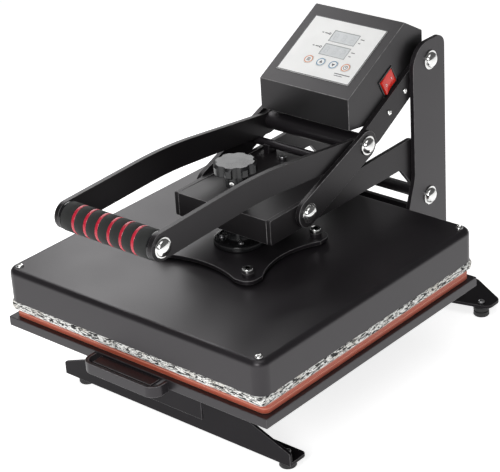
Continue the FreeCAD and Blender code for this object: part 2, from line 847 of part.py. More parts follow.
def make_panel():
    start_x = -(d.panel_width / 2)
    film = flat_box("panel_film", d.panel_width, d.panel_length, d.panel_thickness)
    on_slope(film, start_x, d.panel_start, 0.0)
    tools, windows = [], []
    for number, name in enumerate(WINDOWS):
        along = d.panel_start + d.window_row + d.window_pitch * number
        way = flat_box(name + "_way", d.window_width, d.window_height, 4.0)
        tools.append(on_slope(way, d.window_left, along, -2.0))
        pane = flat_box(name, d.window_width - 0.2, d.window_height - 0.2, d.panel_thickness + 2.0)
        windows.append(on_slope(pane, d.window_left + 0.1, along + 0.1, -2.2))
    along = d.panel_start + d.key_row
    for number, name in enumerate(KEYS):
        x = d.key_left + d.key_pitch * number
        way = doc.addObject("Part::Cylinder", name + "_way")
        bind(way, "Radius", d.key_radius + d.key_play)
        bind(way, "Height", 4.0)
        tools.append(on_slope(way, x, along, -2.0))
        key = doc.addObject("Part::Cylinder", name + "_disc")
        bind(key, "Radius", d.key_radius)
        bind(key, "Height", 2 * d.panel_thickness + d.key_rise)
        node(name, on_slope(key, x, along, -d.panel_thickness))
    node("display_panel", cut("panel", film, *tools))
    node("display_windows", group("window_set", *windows))
    margin = d.board_margin
    board = flat_box("board", d.panel_width - 2 * margin, d.panel_length - 2 * margin, 1.6)
    node("circuit_board", on_slope(board, start_x + margin, d.panel_start + margin, -d.board_depth))
    y, z = back(d.transformer_y), d.transformer_z
    node("transformer", box("transformer_core", (-30, 22), (y, y + 44), (z, z + 34)))
    gland = turned("gland", "Y", (d.gland_x, back(d.case_back), d.gland_z),
                   [(0, 0), (9, 0), (9, 5), (6.5, 9), (6.5, 14), (3.6, 16), (0, 16)])
    node("cord_gland", gland)


def make_switch():
    wall_face = d.inner_face - 0.1
    outside = switch_box("bezel_block", 0.8, wall_face - 5.0, wall_face + 1.4)
    inside = switch_box("bezel_way", -d.bezel_rim, wall_face - 6.0, wall_face + 4.0)
    node("switch_bezel", cut("bezel", outside, inside))
    low, high = wall_face - 3.0, wall_face + 2.2
    rim = d.bezel_rim + d.rocker_play
    rocker = switch_box("rocker_block", -rim, low, high, ROCKER_TILT)
    pin = doc.addObject("Part::Cylinder", "rocker_pin")
    pin.Placement = FreeCAD.Placement(FreeCAD.Vector(),
                                      FreeCAD.Rotation(FreeCAD.Vector(1, 0, 0), slope_angle))
    pin_half = d.switch_width / 2 - rim + d.rocker_pin_reach
    bind(pin, "Radius", d.rocker_pin_radius)
    bind(pin, "Height", pin_half * 2)
    move(pin, (low + high) / 2, back(d.switch_y) + slope_z / slope_length * pin_half,
         d.switch_z - slope_y / slope_length * pin_half)
    node("power_rocker", fuse("rocker_set", rocker, pin))


def make_case_screws():
    head = [(0, 0), (3.4, 0), (3.4, 0.9), (2.0, 2.2), (0, 2.2)]
    screws = []
    places = ((d.case_screw_y, d.case_screw_z), (d.case_low_screw_y, d.case_low_screw_z))
    for number, (y, z) in enumerate(places, start=1):
        screw = turned(f"case_screw{number}", "X", (arm_out, back(y), z), head)
        screws += [screw, mirrored(f"case_screw{number}_left", screw)]
    node("case_screws", group("case_screw_set", *screws))


# ---------------------------------------------------------------- heated platen

def rounded_rectangle(half_x, half_y, radius):
    return [(-half_x, middle - half_y, radius), (half_x, middle - half_y, radius),
            (half_x, middle + half_y, radius), (-half_x, middle + half_y, radius)]


def make_heated_platen():
    half_x, half_y = d.platen_width / 2, d.platen_depth / 2
    node("heat_platen", box("platen", (-half_x, half_x), (middle - half_y, middle + half_y),
                            (heat_bottom, heat_top)))
    wrap = d.wrap_thickness
    low, high = heat_bottom + d.wrap_inset, heat_top - 0.1
    band = box("wrap_outside", (-half_x - wrap, half_x + wrap),
               (middle - half_y - wrap, middle + half_y + wrap), (low, high))
    core = box("wrap_inside", (-half_x, half_x), (middle - half_y, middle + half_y),
               (low - 1, high + 1))
    node("edge_wrap", cut("wrap", band, core))

    radius, pitch = d.element_radius, d.element_pitch
    element_z = heat_top + radius + 0.1
    straight = half_y * 1.3
    legs, bends = [], []
    for number in range(4):
        x = (number - 1.5) * pitch
        legs.append(cylinder(f"element_leg{number + 1}", "Y",
                             (x, middle - straight / 2, element_z), straight, radius))
    for number in range(3):
        bend = doc.addObject("Part::Torus", f"element_bend{number + 1}")
        bind(bend, "Radius1", pitch / 2)
        bind(bend, "Radius2", radius)
        bend.Angle3 = 180.0
        at_back = number % 2 == 0
        turn = 0 if at_back else 180
        bend.Placement = FreeCAD.Placement(FreeCAD.Vector(),
                                           FreeCAD.Rotation(FreeCAD.Vector(0, 0, 1), turn))
        end = middle + straight / 2 if at_back else middle - straight / 2
        move(bend, (number - 1) * pitch, end, element_z)
        bends.append(bend)
    node("heating_element", fuse("element", *legs, *bends))

    mat_low = element_z + radius + 0.5
    inset = d.cover_edge
    node("insulation_mat", box("mat", (-half_x + inset, half_x - inset),
                               (middle - half_y + inset, middle + half_y - inset),
                               (mat_low, mat_low + d.mat_thickness)))
    node("thermocouple", cylinder("probe", "Y", (12, middle + 20, heat_top + 3.2), 120, 3))


def make_cover():
    body = plate("cover_blank", "XY_Plane",
                 rounded_rectangle(cover_half_x, cover_half_y, d.cover_corner),
                 heat_top, d.cover_height)
    top_edges = []
    for number, edge in enumerate(body.Shape.Edges, start=1):
        if all(abs(vertex.Z - cover_top.value) < 0.01 for vertex in edge.Vertexes):
            top_edges.append(f"Edge{number}")
    add_fillet(body, body.Tip, top_edges, d.cover_edge, "cover_soft_edge")
    hollow(body, face_towards(body.Shape, FreeCAD.Vector(0, 0, -1)), d.cover_wall, "cover_shell")
    node("cover", body)
    x, y = cover_half_x - d.cover_screw_inset, cover_half_y - d.cover_screw_inset
    head = [(0, 0), (4.4, 0), (4.4, 0.8), (2.6, 2.2), (0, 2.2)]
    front = turned("cover_screw_front", "Z", (x, middle - y, cover_top), head)
    rear = turned("cover_screw_rear", "Z", (x, middle + y, cover_top), head)
    node("cover_screws", group("cover_screw_set", front, mirrored("cover_screw_front_left", front),
                               rear, mirrored("cover_screw_rear_left", rear)))


def make_spreader():
    low = cover_top + d.spreader_lift
    high = low + d.spreader_steel
    ear_x, ear_y = d.spreader_bolt_x + d.spreader_ear, d.spreader_bolt_y + d.spreader_ear
    blank = plate("spreader_blank", "XY_Plane", rounded_rectangle(ear_x, ear_y, d.spreader_ear),
                  low, d.spreader_steel)
    # each side is cut back by one large circle, so four ears are left
    bites = []
    for name, across, ear, side in (("front", ear_x, ear_y, -1), ("rear", ear_x, ear_y, 1),
                                    ("left", ear_y, ear_x, -1), ("right", ear_y, ear_x, 1)):
        depth = ear - d.spreader_waist
        half_chord = across - d.spreader_ear * 1.6
        radius = (half_chord * half_chord + depth * depth) / (2 * depth)
        centre = (d.spreader_waist + radius) * side
        place = (0, middle + centre, low - 1) if name in ("front", "rear") else (centre, middle, low - 1)
        bites.append(cylinder(f"bite_{name}", "Z", place, d.spreader_steel + 2, radius))
    node("spreader_plate", cut("spreader", blank, *bites))

    sleeves, bolts = [], []
    for name, side in (("front", -1), ("rear", 1)):
        x, y = d.spreader_bolt_x, middle + d.spreader_bolt_y * side
        spacer = cylinder(f"spacer_{name}", "Z", (x, y, cover_top), d.spreader_lift,
                          d.sleeve_radius + 2)
        sleeve = cylinder(f"sleeve_{name}", "Z", (x, y, high), d.sleeve_height, d.sleeve_radius)
        bolt_z = high + d.sleeve_height
        bolt = turned(f"ear_bolt_{name}", "Z", (x, y, bolt_z), [
            (0, 0), (6.6, 0), (6.6, 5.0), (6.0, 5.6), (3.0, 5.6), (3.0, 2.6), (0, 2.6)])
        sleeves += [spacer, mirrored(spacer.Name + "_left", spacer),
                    sleeve, mirrored(sleeve.Name + "_left", sleeve)]
        bolts += [bolt, mirrored(bolt.Name + "_left", bolt)]
    node("spreader_standoffs", group("standoff_set", *sleeves))
    node("spreader_bolts", group("ear_bolt_set", *bolts))

    bore = d.screw_radius + d.bolt_play
    neck_top = d.arm_bottom - 5.0
    node("thrust_boss", turned("boss", "Z", (0, middle, high), [
        (0, 0), (d.boss_radius - 1, 0), (d.boss_radius, 1), (d.boss_radius, d.boss_height - 1),
        (d.boss_radius - 1, d.boss_height), (d.boss_neck_radius, d.boss_height),
        (d.boss_neck_radius, neck_top - high), (bore, neck_top - high), (bore, 4.0), (0, 4.0)]))


def make_knob():
    floor = cover_top + d.spreader_lift + d.spreader_steel + 4.1
    top = d.knob_bottom + d.knob_height
    hub_low = d.knob_bottom - d.hub_height
    node("pressure_screw", cylinder("screw", "Z", (0, middle, floor), d.knob_bottom - floor - 0.1,
                                    d.screw_radius))
    blank = turned("knob_blank", "Z", (0, middle, 0), [
        (0, d.knob_bottom), (d.knob_radius - 2, d.knob_bottom), (d.knob_radius, d.knob_bottom + 2),
        (d.knob_radius, top - 3), (d.knob_radius - 3, top), (0, top)])
    flutes = []
    for number in range(SIZES["knob_flutes"]):
        angle = 2 * math.pi * number / SIZES["knob_flutes"]
        reach = d.flute_reach
        flutes.append(cylinder(f"flute{number + 1}", "Z",
                               (reach * math.cos(angle), middle + reach * math.sin(angle),
                                d.knob_bottom - 1), d.knob_height + 2, d.flute_radius))
    star = cut("knob_star", blank, *flutes)
    hub = cylinder("knob_hub", "Z", (0, middle, hub_low), d.hub_height, d.hub_radius)
    bore = cylinder("knob_bore", "Z", (0, middle, hub_low - 1), d.hub_height + 1,
                    d.screw_radius + d.bolt_play)
    node("knob", cut("knob_set", fuse("knob_solid", star, hub), bore))


# ---------------------------------------------------------------- drawer

def make_drawer():
    node("lower_platen", box("tray", (-tray_half_x, tray_half_x),
                             (middle - tray_half_y, middle + tray_half_y), (tray_bottom, tray_top)))
    pad_x, pad_y = d.platen_width / 2 - d.pad_inset_side, d.platen_depth / 2 - d.pad_inset_front
    node("silicone_pad", plate("pad", "XY_Plane", rounded_rectangle(pad_x, pad_y, d.pad_corner),
                               tray_top, d.pad_thickness))

    rail_in = outer_in - d.rail_width
    steel = d.rail_steel
    foot_z = ledge_z + steel + d.runner_play
    web_out = rail_in - 0.6
    foot_out = outer_in - steel - d.runner_play
    flange = d.runner_flange
    front = middle - tray_half_y
    runner = plate("runner", "XZ_Plane", [
        (web_out - steel, foot_z), (foot_out, foot_z), (foot_out, foot_z + steel),
        (web_out, foot_z + steel), (web_out, tray_bottom), (web_out - flange, tray_bottom),
        (web_out - flange, tray_bottom - steel), (web_out - steel, tray_bottom - steel),
    ], front + d.runner_setback, 2 * tray_half_y - 20.0)
    pair("runner", runner)

    out_y, in_y = front - d.pull_reach, front - d.pull_reach + d.pull_steel
    out_x, in_x = d.pull_half_width, d.pull_half_width - d.pull_steel
    loop = plate("pull_loop", "XY_Plane", [
        (-out_x, front), (-out_x, out_y, d.pull_corner), (out_x, out_y, d.pull_corner),
        (out_x, front), (in_x, front), (in_x, in_y, d.pull_corner - d.pull_steel),
        (-in_x, in_y, d.pull_corner - d.pull_steel), (-in_x, front),
    ], tray_bottom - d.pull_drop, d.pull_height)
    tongue_top = tray_top - d.tongue_drop
    tongue = box("pull_tongue", (-d.tongue_half, d.tongue_half), (front - d.tongue_reach, front),
                 (tongue_top - steel, tongue_top))
    apron_back = front + d.runner_setback
    apron = box("pull_apron", (-d.apron_left, d.apron_right), (apron_back - steel, apron_back),
                (foot_z, tray_bottom))
    node("pull_handle", group("pull_set", loop, tongue, apron))


# ---------------------------------------------------------------- build, check and write

def failed_objects():
    bad = []
    for item in doc.Objects:
        if "Invalid" in item.State or "Error" in item.State:
            bad.append(item.Name)
    return bad


def write_steps():
    doc.recompute()
    bad = failed_objects()
    for name, solid in NODES.items():
        if solid.Shape.isNull() or not solid.Shape.isValid():
            bad.append(name)
    if bad:
        print("failed:", ", ".join(bad))
        sys.exit(1)
    os.makedirs("parts", exist_ok=True)
    for name, solid in NODES.items():
        solid.Shape.exportStep(f"parts/{name}.step")
        print(f"{name:20s} {len(solid.Shape.Solids):3d} solids {solid.Shape.Volume / 1000:10.2f} cm3")


make_base()
make_uprights()
make_pivot_bolts()
make_press_arm()
make_links()
make_levers()
make_grip()
make_case()
make_panel()
make_switch()
make_case_screws()
make_heated_platen()
make_cover()
make_spreader()
make_knob()
make_drawer()
write_steps()
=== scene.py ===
import json
import math

import bmesh
import bpy
from mathutils import Matrix, Vector, noise


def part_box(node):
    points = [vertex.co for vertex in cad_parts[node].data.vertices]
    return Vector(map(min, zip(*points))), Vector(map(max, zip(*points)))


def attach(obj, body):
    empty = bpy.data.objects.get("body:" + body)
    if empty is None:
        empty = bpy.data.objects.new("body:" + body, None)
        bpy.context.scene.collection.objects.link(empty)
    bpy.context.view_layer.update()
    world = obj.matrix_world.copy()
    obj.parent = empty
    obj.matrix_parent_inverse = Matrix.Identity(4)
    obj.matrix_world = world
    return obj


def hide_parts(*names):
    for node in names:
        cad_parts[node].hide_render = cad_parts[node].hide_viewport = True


# Clamshell heat press: the looks of every piece, around the shapes of its design. Metres,
# and millimetres where a function says so.
# +X is the machine's right, +Y its back, +Z up.

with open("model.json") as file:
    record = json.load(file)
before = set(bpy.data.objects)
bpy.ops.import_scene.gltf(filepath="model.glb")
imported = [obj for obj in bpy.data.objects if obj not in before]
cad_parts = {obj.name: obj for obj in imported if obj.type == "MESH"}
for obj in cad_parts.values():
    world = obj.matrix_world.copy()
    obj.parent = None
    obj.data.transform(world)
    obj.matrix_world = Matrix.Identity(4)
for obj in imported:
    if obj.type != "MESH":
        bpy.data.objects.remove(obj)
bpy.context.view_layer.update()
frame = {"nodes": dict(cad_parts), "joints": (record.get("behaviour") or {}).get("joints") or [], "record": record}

MM = 0.001
RECORD = frame["record"]
SLOT_OF = {part["node"]: part["material_slot"] for part in RECORD["subparts"]}
BODY_OF = {node: body for body, nodes in RECORD["behaviour"]["bodies"].items() for node in nodes}


# ---------------------------------------------------------------- finishes

class Flow:
    """A number that varies over a surface. Plain maths on it adds Math nodes."""

    def __init__(self, finish, socket):
        self.finish = finish
        self.socket = socket

    def _maths(self, operation, *terms):
        return self.finish.node("Math", {"operation": operation}, dict(enumerate(terms)))

    def __add__(self, other):
        return self._maths("ADD", self, other)

    def __sub__(self, other):
        return self._maths("SUBTRACT", self, other)

    def __rsub__(self, other):
        return self._maths("SUBTRACT", other, self)

    def __mul__(self, other):
        return self._maths("MULTIPLY", self, other)

    def __truediv__(self, other):
        return self._maths("DIVIDE", self, other)

    def __gt__(self, other):
        return self._maths("GREATER_THAN", self, other)

    def __lt__(self, other):
        return self._maths("LESS_THAN", self, other)

    __radd__ = __add__
    __rmul__ = __mul__


class Finish:
    """One material, built from a Principled surface and the nodes that vary it."""

    def __init__(self, name):
        self.material = bpy.data.materials.new(name)
        self.material.use_nodes = True
        self.tree = self.material.node_tree
        self.tree.nodes.clear()
        self.place = None

    def node(self, kind, settings=None, inputs=None, output=0):
        """Add a node of a kind: its settings first, then the values or links of its sockets."""
        made = self.tree.nodes.new("ShaderNode" + kind)
        for key, value in (settings or {}).items():
            if key == "stops":
                self._set_stops(made.color_ramp, value)
            else:
                setattr(made, key, value)
        for key, value in (inputs or {}).items():
            if isinstance(value, Flow):
                self.tree.links.new(value.socket, made.inputs[key])
            else:
                made.inputs[key].default_value = value
        return Flow(self, made.outputs[output]) if made.outputs else None

    def _set_stops(self, ramp, stops):
        for element, (place, tone) in zip(ramp.elements, stops):
            element.position, element.color = place, (*tone, 1)
        for place, tone in stops[len(ramp.elements):]:
            ramp.elements.new(place).color = (*tone, 1)

    def coordinates(self):
        if self.place is None:
            self.place = self.node("TexCoord", output="Object")
        return self.place

    def stretched(self, scale):
        """Object coordinates with a scale of their own along each axis."""
        return self.node("Mapping", {}, {"Vector": self.coordinates(), "Scale": scale})

    def noise(self, scale, detail=3.0, rough=0.5, vector=None, distortion=0.0):
        return self.node("TexNoise", {}, {
            "Vector": vector or self.coordinates(), "Scale": scale, "Detail": detail,
            "Roughness": rough, "Distortion": distortion})

    def cells(self, scale, feature="F1", vector=None):
        return self.node("TexVoronoi", {"feature": feature},
                         {"Vector": vector or self.coordinates(), "Scale": scale},
                         output="Distance")

    def attribute(self, name):
        return self.node("Attribute", {"attribute_name": name}, output="Fac")

    def spread(self, value, low, high, to_low=0.0, to_high=1.0):
        """The value's stretch from low to high, laid over to_low to to_high and clamped."""
        return self.node("MapRange", {"clamp": True},
                         {0: value, 1: low, 2: high, 3: to_low, 4: to_high})

    def blend(self, factor, first, second):
        """Two colours mixed by a factor."""
        both = {6: colour(first), 7: colour(second), 0: factor}
        return self.node("Mix", {"data_type": "RGBA"}, both, output=2)

    def bump(self, height, depth, strength=1.0, below=None):
        inputs = {"Height": height, "Distance": depth, "Strength": strength}
        if below is not None:
            inputs["Normal"] = below
        return self.node("Bump", {}, inputs)

    def surface(self, **sockets):
        names = {key.replace("_", " ").title(): value for key, value in sockets.items()}
        inputs = {name.replace("Ior", "IOR"): value for name, value in names.items()}
        body = self.node("BsdfPrincipled", {}, inputs)
        self.node("OutputMaterial", {}, {"Surface": body})
        return self.material


def colour(tone):
    return tone if isinstance(tone, Flow) or len(tone) == 4 else (*tone, 1)


def powder_coat(name, tone, wear_and_highlight_tone, shine=0.36, sheen=0.55):
    """Satin powder coat: a fine orange peel, faint clouding and edges painted lighter, partly scuffing and partly
    painted edge highlight.
    """
    coat = Finish(name)
    peel = coat.noise(1500, 2)
    cloud = coat.noise(14, 4)
    worn = coat.attribute("worn")
    # Edge tone: partly scuffing, partly a painted highlight standing in for light caught on the edges.
    scuffed_and_highlit = worn * coat.spread(coat.noise(160, 4, 0.6), 0.32, 0.62, 0.35, 1.0)
    base = coat.blend(coat.spread(cloud, 0.3, 0.7), tone, [part * 1.35 for part in tone])
    speck = coat.spread(coat.noise(2600, 1), 0.66, 0.74)
    base = coat.blend(speck * 0.3, base, [part * 2.2 for part in tone])
    return coat.surface(
        base_color=coat.blend(scuffed_and_highlit, base, wear_and_highlight_tone),
        roughness=coat.spread(cloud, 0.25, 0.75, shine - 0.03, shine + 0.04) - scuffed_and_highlit * 0.08,
        normal=coat.bump(peel, 0.00004, 0.35),
        specular_ior_level=sheen,
        specular_tint=(1.0, 0.96, 0.995, 1),
    )


def gloss_plastic(name, tone, shine=0.14):
    """Moulded plastic: nearly smooth, with handling smears in its gloss."""
    plastic = Finish(name)
    smear = plastic.noise(60, 5, 0.6)
    grain = plastic.noise(900, 2)
    return plastic.surface(
        base_color=plastic.blend(plastic.spread(smear, 0.35, 0.7), tone,
                                 [part * 1.25 for part in tone]),
        roughness=plastic.spread(smear, 0.3, 0.75, shine, shine + 0.12),
        normal=plastic.bump(grain, 0.00003, 0.25),
        specular_ior_level=0.6,
    )


def steel(name, tone, shine, grain_scale=(300, 300, 300)):
    """Bare metal with a fine grain, smudges and a few darker spots."""
    metal = Finish(name)
    grain = metal.noise(1.0, 3, 0.6, vector=metal.stretched(grain_scale))
    smudge = metal.noise(90, 5, 0.62)
    dull = [part * 0.72 for part in tone]
    return metal.surface(
        base_color=metal.blend(metal.spread(smudge, 0.42, 0.72), tone, dull),
        metallic=1.0,
        roughness=metal.spread(smudge, 0.3, 0.7, shine, shine + 0.12) + (grain - 0.5) * 0.08,
        normal=metal.bump(grain, 0.00003, 0.3),
    )


def rubber(name, tone, wear_and_highlight_tone, shine=0.62):
    """Moulded rubber or silicone: matt, faintly dusty, with a fine tooth; soft edges, where marked, painted
    lighter as a painted highlight.
    """
    soft = Finish(name)
    tooth = soft.noise(1300, 3)
    dust = soft.noise(24, 5, 0.6)
    worn = soft.attribute("worn")
    base = soft.blend(soft.spread(dust, 0.4, 0.75), tone, [part * 1.18 for part in tone])
    return soft.surface(
        # Marked edges mixed toward the edge tone: a painted highlight.
        base_color=soft.blend(worn * 0.65, base, wear_and_highlight_tone),
        roughness=soft.spread(dust, 0.3, 0.7, shine - 0.08, shine + 0.08),
        normal=soft.bump(tooth, 0.00006, 0.4),
        sheen_weight=0.08,
    )


def foam(name, tone):
    """Closed-cell foam rubber: small open pores between rounded cells, the pores painted darker as painted shade.
    """
    grip = Finish(name)
    cells = grip.cells(900)
    pore = grip.spread(cells, 0.0, 0.45)
    mottle = grip.noise(70, 4, 0.6)
    dark = [part * 0.45 for part in tone]
    # The pores take the darker tone: painted shade in the hollows.
    base = grip.blend(pore, dark, tone)
    return grip.surface(
        base_color=grip.blend(grip.spread(mottle, 0.4, 0.7) * 0.5, base,
                              [part * 1.5 for part in tone]),
        roughness=grip.spread(mottle, 0.3, 0.7, 0.78, 0.92),
        normal=grip.bump(pore, 0.00022, 0.7),
        sheen_weight=0.05,
    )


def mottled_cloth(name):
    """Crinkled glass cloth: slanting folds painted bright as painted highlight, broken by creases painted near
    black as painted shade.
    """
    cloth = Finish(name)
    along, rise = cloth.attribute("along"), cloth.attribute("rise")

    def slanted(run, tall, lean, offset=0.0):
        across = {"X": along * run + rise * (tall * lean), "Y": rise * tall - along * (run * lean),
                  "Z": offset}
        return cloth.node("CombineXYZ", {}, across)

    folds = cloth.noise(1.0, 3, 0.6, vector=slanted(110, 420, 0.35), distortion=0.7)
    cracks = cloth.noise(1.0, 2, 0.5, vector=slanted(210, 900, -0.3, 7.0), distortion=0.4)
    stain = cloth.noise(45, 3, 0.5)
    # Bright folds are painted highlight, near-black creases and fine cracks painted shade; the stain tint is the
    # cloth's own.
    light = cloth.spread(folds, 0.455, 0.50)
    fine = cloth.spread(cracks, 0.38, 0.44)
    tint = cloth.blend(cloth.spread(stain, 0.5, 0.75), (0.93, 0.93, 0.90), (0.66, 0.61, 0.52))
    pale = cloth.blend(fine, (0.16, 0.15, 0.14), tint)
    return cloth.surface(
        base_color=cloth.blend(light, (0.016, 0.016, 0.016), pale),
        roughness=cloth.spread(folds, 0.4, 0.6, 0.7, 0.45),
        normal=cloth.bump(folds + cracks * 0.4, 0.0012, 0.8),
    )


def fibre_mat(name, tone):
    mat = Finish(name)
    fibre = mat.noise(1.0, 5, 0.7, vector=mat.stretched((180, 900, 900)))
    return mat.surface(
        base_color=mat.blend(mat.spread(fibre, 0.35, 0.65), tone, [part * 0.75 for part in tone]),
        roughness=0.95,
        normal=mat.bump(fibre, 0.0006, 0.8),
    )


def panel_film(name, tone, shine=0.34):
    """Printed polyester film with a faint embossed texture."""
    film = Finish(name)
    emboss = film.noise(2200, 2)
    haze = film.noise(30, 3)
    return film.surface(
        base_color=film.blend(film.spread(haze, 0.35, 0.7), tone, [part * 0.95 for part in tone]),
        roughness=film.spread(haze, 0.3, 0.7, shine, shine + 0.08),
        normal=film.bump(emboss, 0.00003, 0.3),
    )


def ink(name, tone):
    """Screen-printed ink, slightly uneven in density."""
    print_ink = Finish(name)
    density = print_ink.noise(700, 3, 0.6)
    return print_ink.surface(
        base_color=print_ink.blend(print_ink.spread(density, 0.35, 0.7) * 0.4, tone,
                                   [min(1, part * 1.4 + 0.03) for part in tone]),
        roughness=print_ink.spread(density, 0.3, 0.7, 0.38, 0.5),
    )


def circuit(name):
    board = Finish(name)
    tracks = board.cells(260)
    line = board.spread(tracks, 0.28, 0.34) * board.spread(tracks, 0.42, 0.36)
    return board.surface(
        base_color=board.blend(line, (0.015, 0.11, 0.04), (0.06, 0.28, 0.12)),
        roughness=0.4,
        normal=board.bump(line, 0.00005, 0.5),
    )


FINISHES = {
    # Each coat's second tone is its edge tone: scuffing together with painted edge highlight.
    "powder_black": powder_coat("powder_black", (0.0112, 0.0098, 0.0114), (0.30, 0.29, 0.295)),
    # Arm coat: a brighter edge tone, a stronger painted highlight on the lever and arm edges.
    "arm_black": powder_coat("arm_black", (0.0105, 0.0095, 0.0103), (0.42, 0.41, 0.415),
                             sheen=0.31),
    # Base coat: a darker copy with less sheen and dimmer edges, painted shade on the low base pieces.
    "base_black_painted_shade": powder_coat("base_black_painted_shade", (0.008, 0.007, 0.0085), (0.20, 0.195, 0.2),
                              shine=0.38, sheen=0.13),
    "case_black": powder_coat("case_black", (0.0102, 0.0100, 0.0104), (0.26, 0.255, 0.255),
                              shine=0.40),
    "polished_steel": steel("polished_steel", (0.88, 0.88, 0.87), shine=0.10),
    "plain_steel": steel("plain_steel", (0.52, 0.52, 0.53), shine=0.28),
    "bronze": steel("bronze", (0.60, 0.42, 0.20), shine=0.32),
    "aluminium": steel("aluminium", (0.80, 0.80, 0.81), shine=0.30, grain_scale=(60, 900, 900)),
    "wrap_mottled": mottled_cloth("wrap_mottled"),
    "insulation": fibre_mat("insulation", (0.80, 0.77, 0.68)),
    # The silicone's edge tone is a painted highlight on the pad's soft edges.
    "silicone": rubber("silicone", (0.45, 0.084, 0.042), (0.82, 0.38, 0.28), shine=0.46),
    "foam_grey": foam("foam_grey", (0.017, 0.018, 0.0175)),
    "ring_red": gloss_plastic("ring_red", (0.50, 0.016, 0.040), shine=0.22),
    "gloss_black": gloss_plastic("gloss_black", (0.010, 0.010, 0.011), shine=0.17),
    "rocker_red": gloss_plastic("rocker_red", (0.72, 0.022, 0.012), shine=0.18),
    "panel_white": panel_film("panel_white", (0.87, 0.87, 0.86)),
    "window_grey": panel_film("window_grey", (0.62, 0.64, 0.65), shine=0.2),
    "board_green": circuit("board_green"),
    "rubber_black": rubber("rubber_black", (0.013, 0.013, 0.014), (0.03, 0.03, 0.03)),
}
INKS = {
    "ink_dark": ink("ink_dark", (0.05, 0.05, 0.055)),
    "ink_orange": ink("ink_orange", (0.62, 0.20, 0.06)),
    "ink_blue": ink("ink_blue", (0.05, 0.20, 0.34)),
    "ink_pale": ink("ink_pale", (0.75, 0.70, 0.68)),
    "ink_faint": ink("ink_faint", (0.20, 0.21, 0.215)),
    "ink_unlit": ink("ink_unlit", (0.48, 0.50, 0.51)),
}


# ---------------------------------------------------------------- building pieces

def mark_wear_and_highlight(mesh, faces, wear_and_highlight_amount=1.0):
    """Points in the middle of a softened edge are marked for scuffing and painted edge highlight; the flat faces
    are not.
    """
    worn = mesh.verts.layers.float.new("worn")
    soft = set(faces)
    for vert in mesh.verts:
        vert[worn] = wear_and_highlight_amount if all(face in soft for face in vert.link_faces) else 0.0


def soften(mesh, width, segments=2, sharper_than=30.0, wear_and_highlight_amount=1.0):
    """Round every edge that is sharper than an angle."""
    edges = [edge for edge in mesh.edges
             if len(edge.link_faces) == 2 and edge.calc_face_angle(0) > math.radians(sharper_than)]
    made = bmesh.ops.bevel(mesh, geom=edges, offset=width, offset_type="OFFSET",
                           affect="EDGES", segments=segments, profile=0.5, material=-1,
                           clamp_overlap=True, loop_slide=True)
    # The new edge faces carry the scuffing and painted highlight mark.
    mark_wear_and_highlight(mesh, made["faces"], wear_and_highlight_amount)


def piece(name, mesh, body, finish, slot=None, replaces=(), sharp=40.0, weighted=False):
    """Make an object of a finished bmesh, with its place in its mesh, riding on a body."""
    data = bpy.data.meshes.new(name)
    mesh.to_mesh(data)
    mesh.free()
    data.shade_smooth()
    data.set_sharp_from_angle(angle=math.radians(sharp))
    made = bpy.data.objects.new(name, data)
    bpy.context.scene.collection.objects.link(made)
    data.materials.append(finish)
    if weighted:
        even = made.modifiers.new("even_shading", "WEIGHTED_NORMAL")
        even.keep_sharp = True
        even.weight = 100
    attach(made, body)
    if replaces:
        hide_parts(*replaces)
    return made


def of_slot(name, mesh, body, slot, **more):
    return piece(name, mesh, body, FINISHES[slot], slot, **more)


def copied(node):
    """A node's mesh, merged, with its flat faces whole again."""
    mesh = bmesh.new()
    mesh.from_mesh(frame["nodes"][node].data)
    bmesh.ops.remove_doubles(mesh, verts=mesh.verts, dist=0.002 * MM)
    bmesh.ops.dissolve_limit(mesh, angle_limit=math.radians(0.5), use_dissolve_boundaries=False,
                             verts=mesh.verts, edges=mesh.edges)
    return mesh


def softened(node, width, segments=2, prefix="coated", wear_and_highlight_amount=1.0, finish=None):
    """The node's own shape with its edges rounded, in its own finish."""
    mesh = copied(node)
    soften(mesh, width * MM, segments, wear_and_highlight_amount=wear_and_highlight_amount)
    return piece(f"{prefix}_{node}", mesh, BODY_OF[node], FINISHES[finish or SLOT_OF[node]],
                 SLOT_OF[node], replaces=[node], weighted=True)


def centre_of(node):
    low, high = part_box(node)
    return (low + high) / 2


def solids_of(node):
    """The (low, high) corners of each separate solid in a node."""
    mesh = copied(node)
    left, boxes = set(mesh.verts), []
    while left:
        waiting, island = [left.pop()], []
        while waiting:
            vert = waiting.pop()
            island.append(vert.co.copy())
            beside = {edge.other_vert(vert) for edge in vert.link_edges} & left
            left -= beside
            waiting += beside
        boxes.append((Vector(map(min, zip(*island))), Vector(map(max, zip(*island)))))
    mesh.free()
    return boxes


def aim(axis):
    """The turn that takes +Z to an axis."""
    return Vector((0, 0, 1)).rotation_difference(Vector(axis)).to_matrix().to_4x4()


def spun(profile, steps=48):
    """Spin (radius, height) points round +Z into a closed skin."""
    mesh = bmesh.new()
    verts = [mesh.verts.new((radius * MM, 0, height * MM)) for radius, height in profile]
    edges = [mesh.edges.new(ends) for ends in zip(verts, verts[1:])]
    bmesh.ops.spin(mesh, geom=verts + edges, cent=(0, 0, 0), axis=(0, 0, 1),
                   angle=math.tau, steps=steps, use_merge=True, use_duplicate=False)
    bmesh.ops.remove_doubles(mesh, verts=mesh.verts, dist=0.001 * MM)
    bmesh.ops.recalc_face_normals(mesh, faces=mesh.faces)
    return mesh


def placed(mesh, place, axis=(0, 0, 1)):
    bmesh.ops.transform(mesh, matrix=Matrix.Translation(place) @ aim(axis), verts=mesh.verts)
    return mesh


def joined(meshes):
    """Several bmeshes as one."""
    whole = bmesh.new()
    for mesh in meshes:
        data = bpy.data.meshes.new("part")
        mesh.to_mesh(data)
        mesh.free()
        whole.from_mesh(data)
        bpy.data.meshes.remove(data)
    return whole


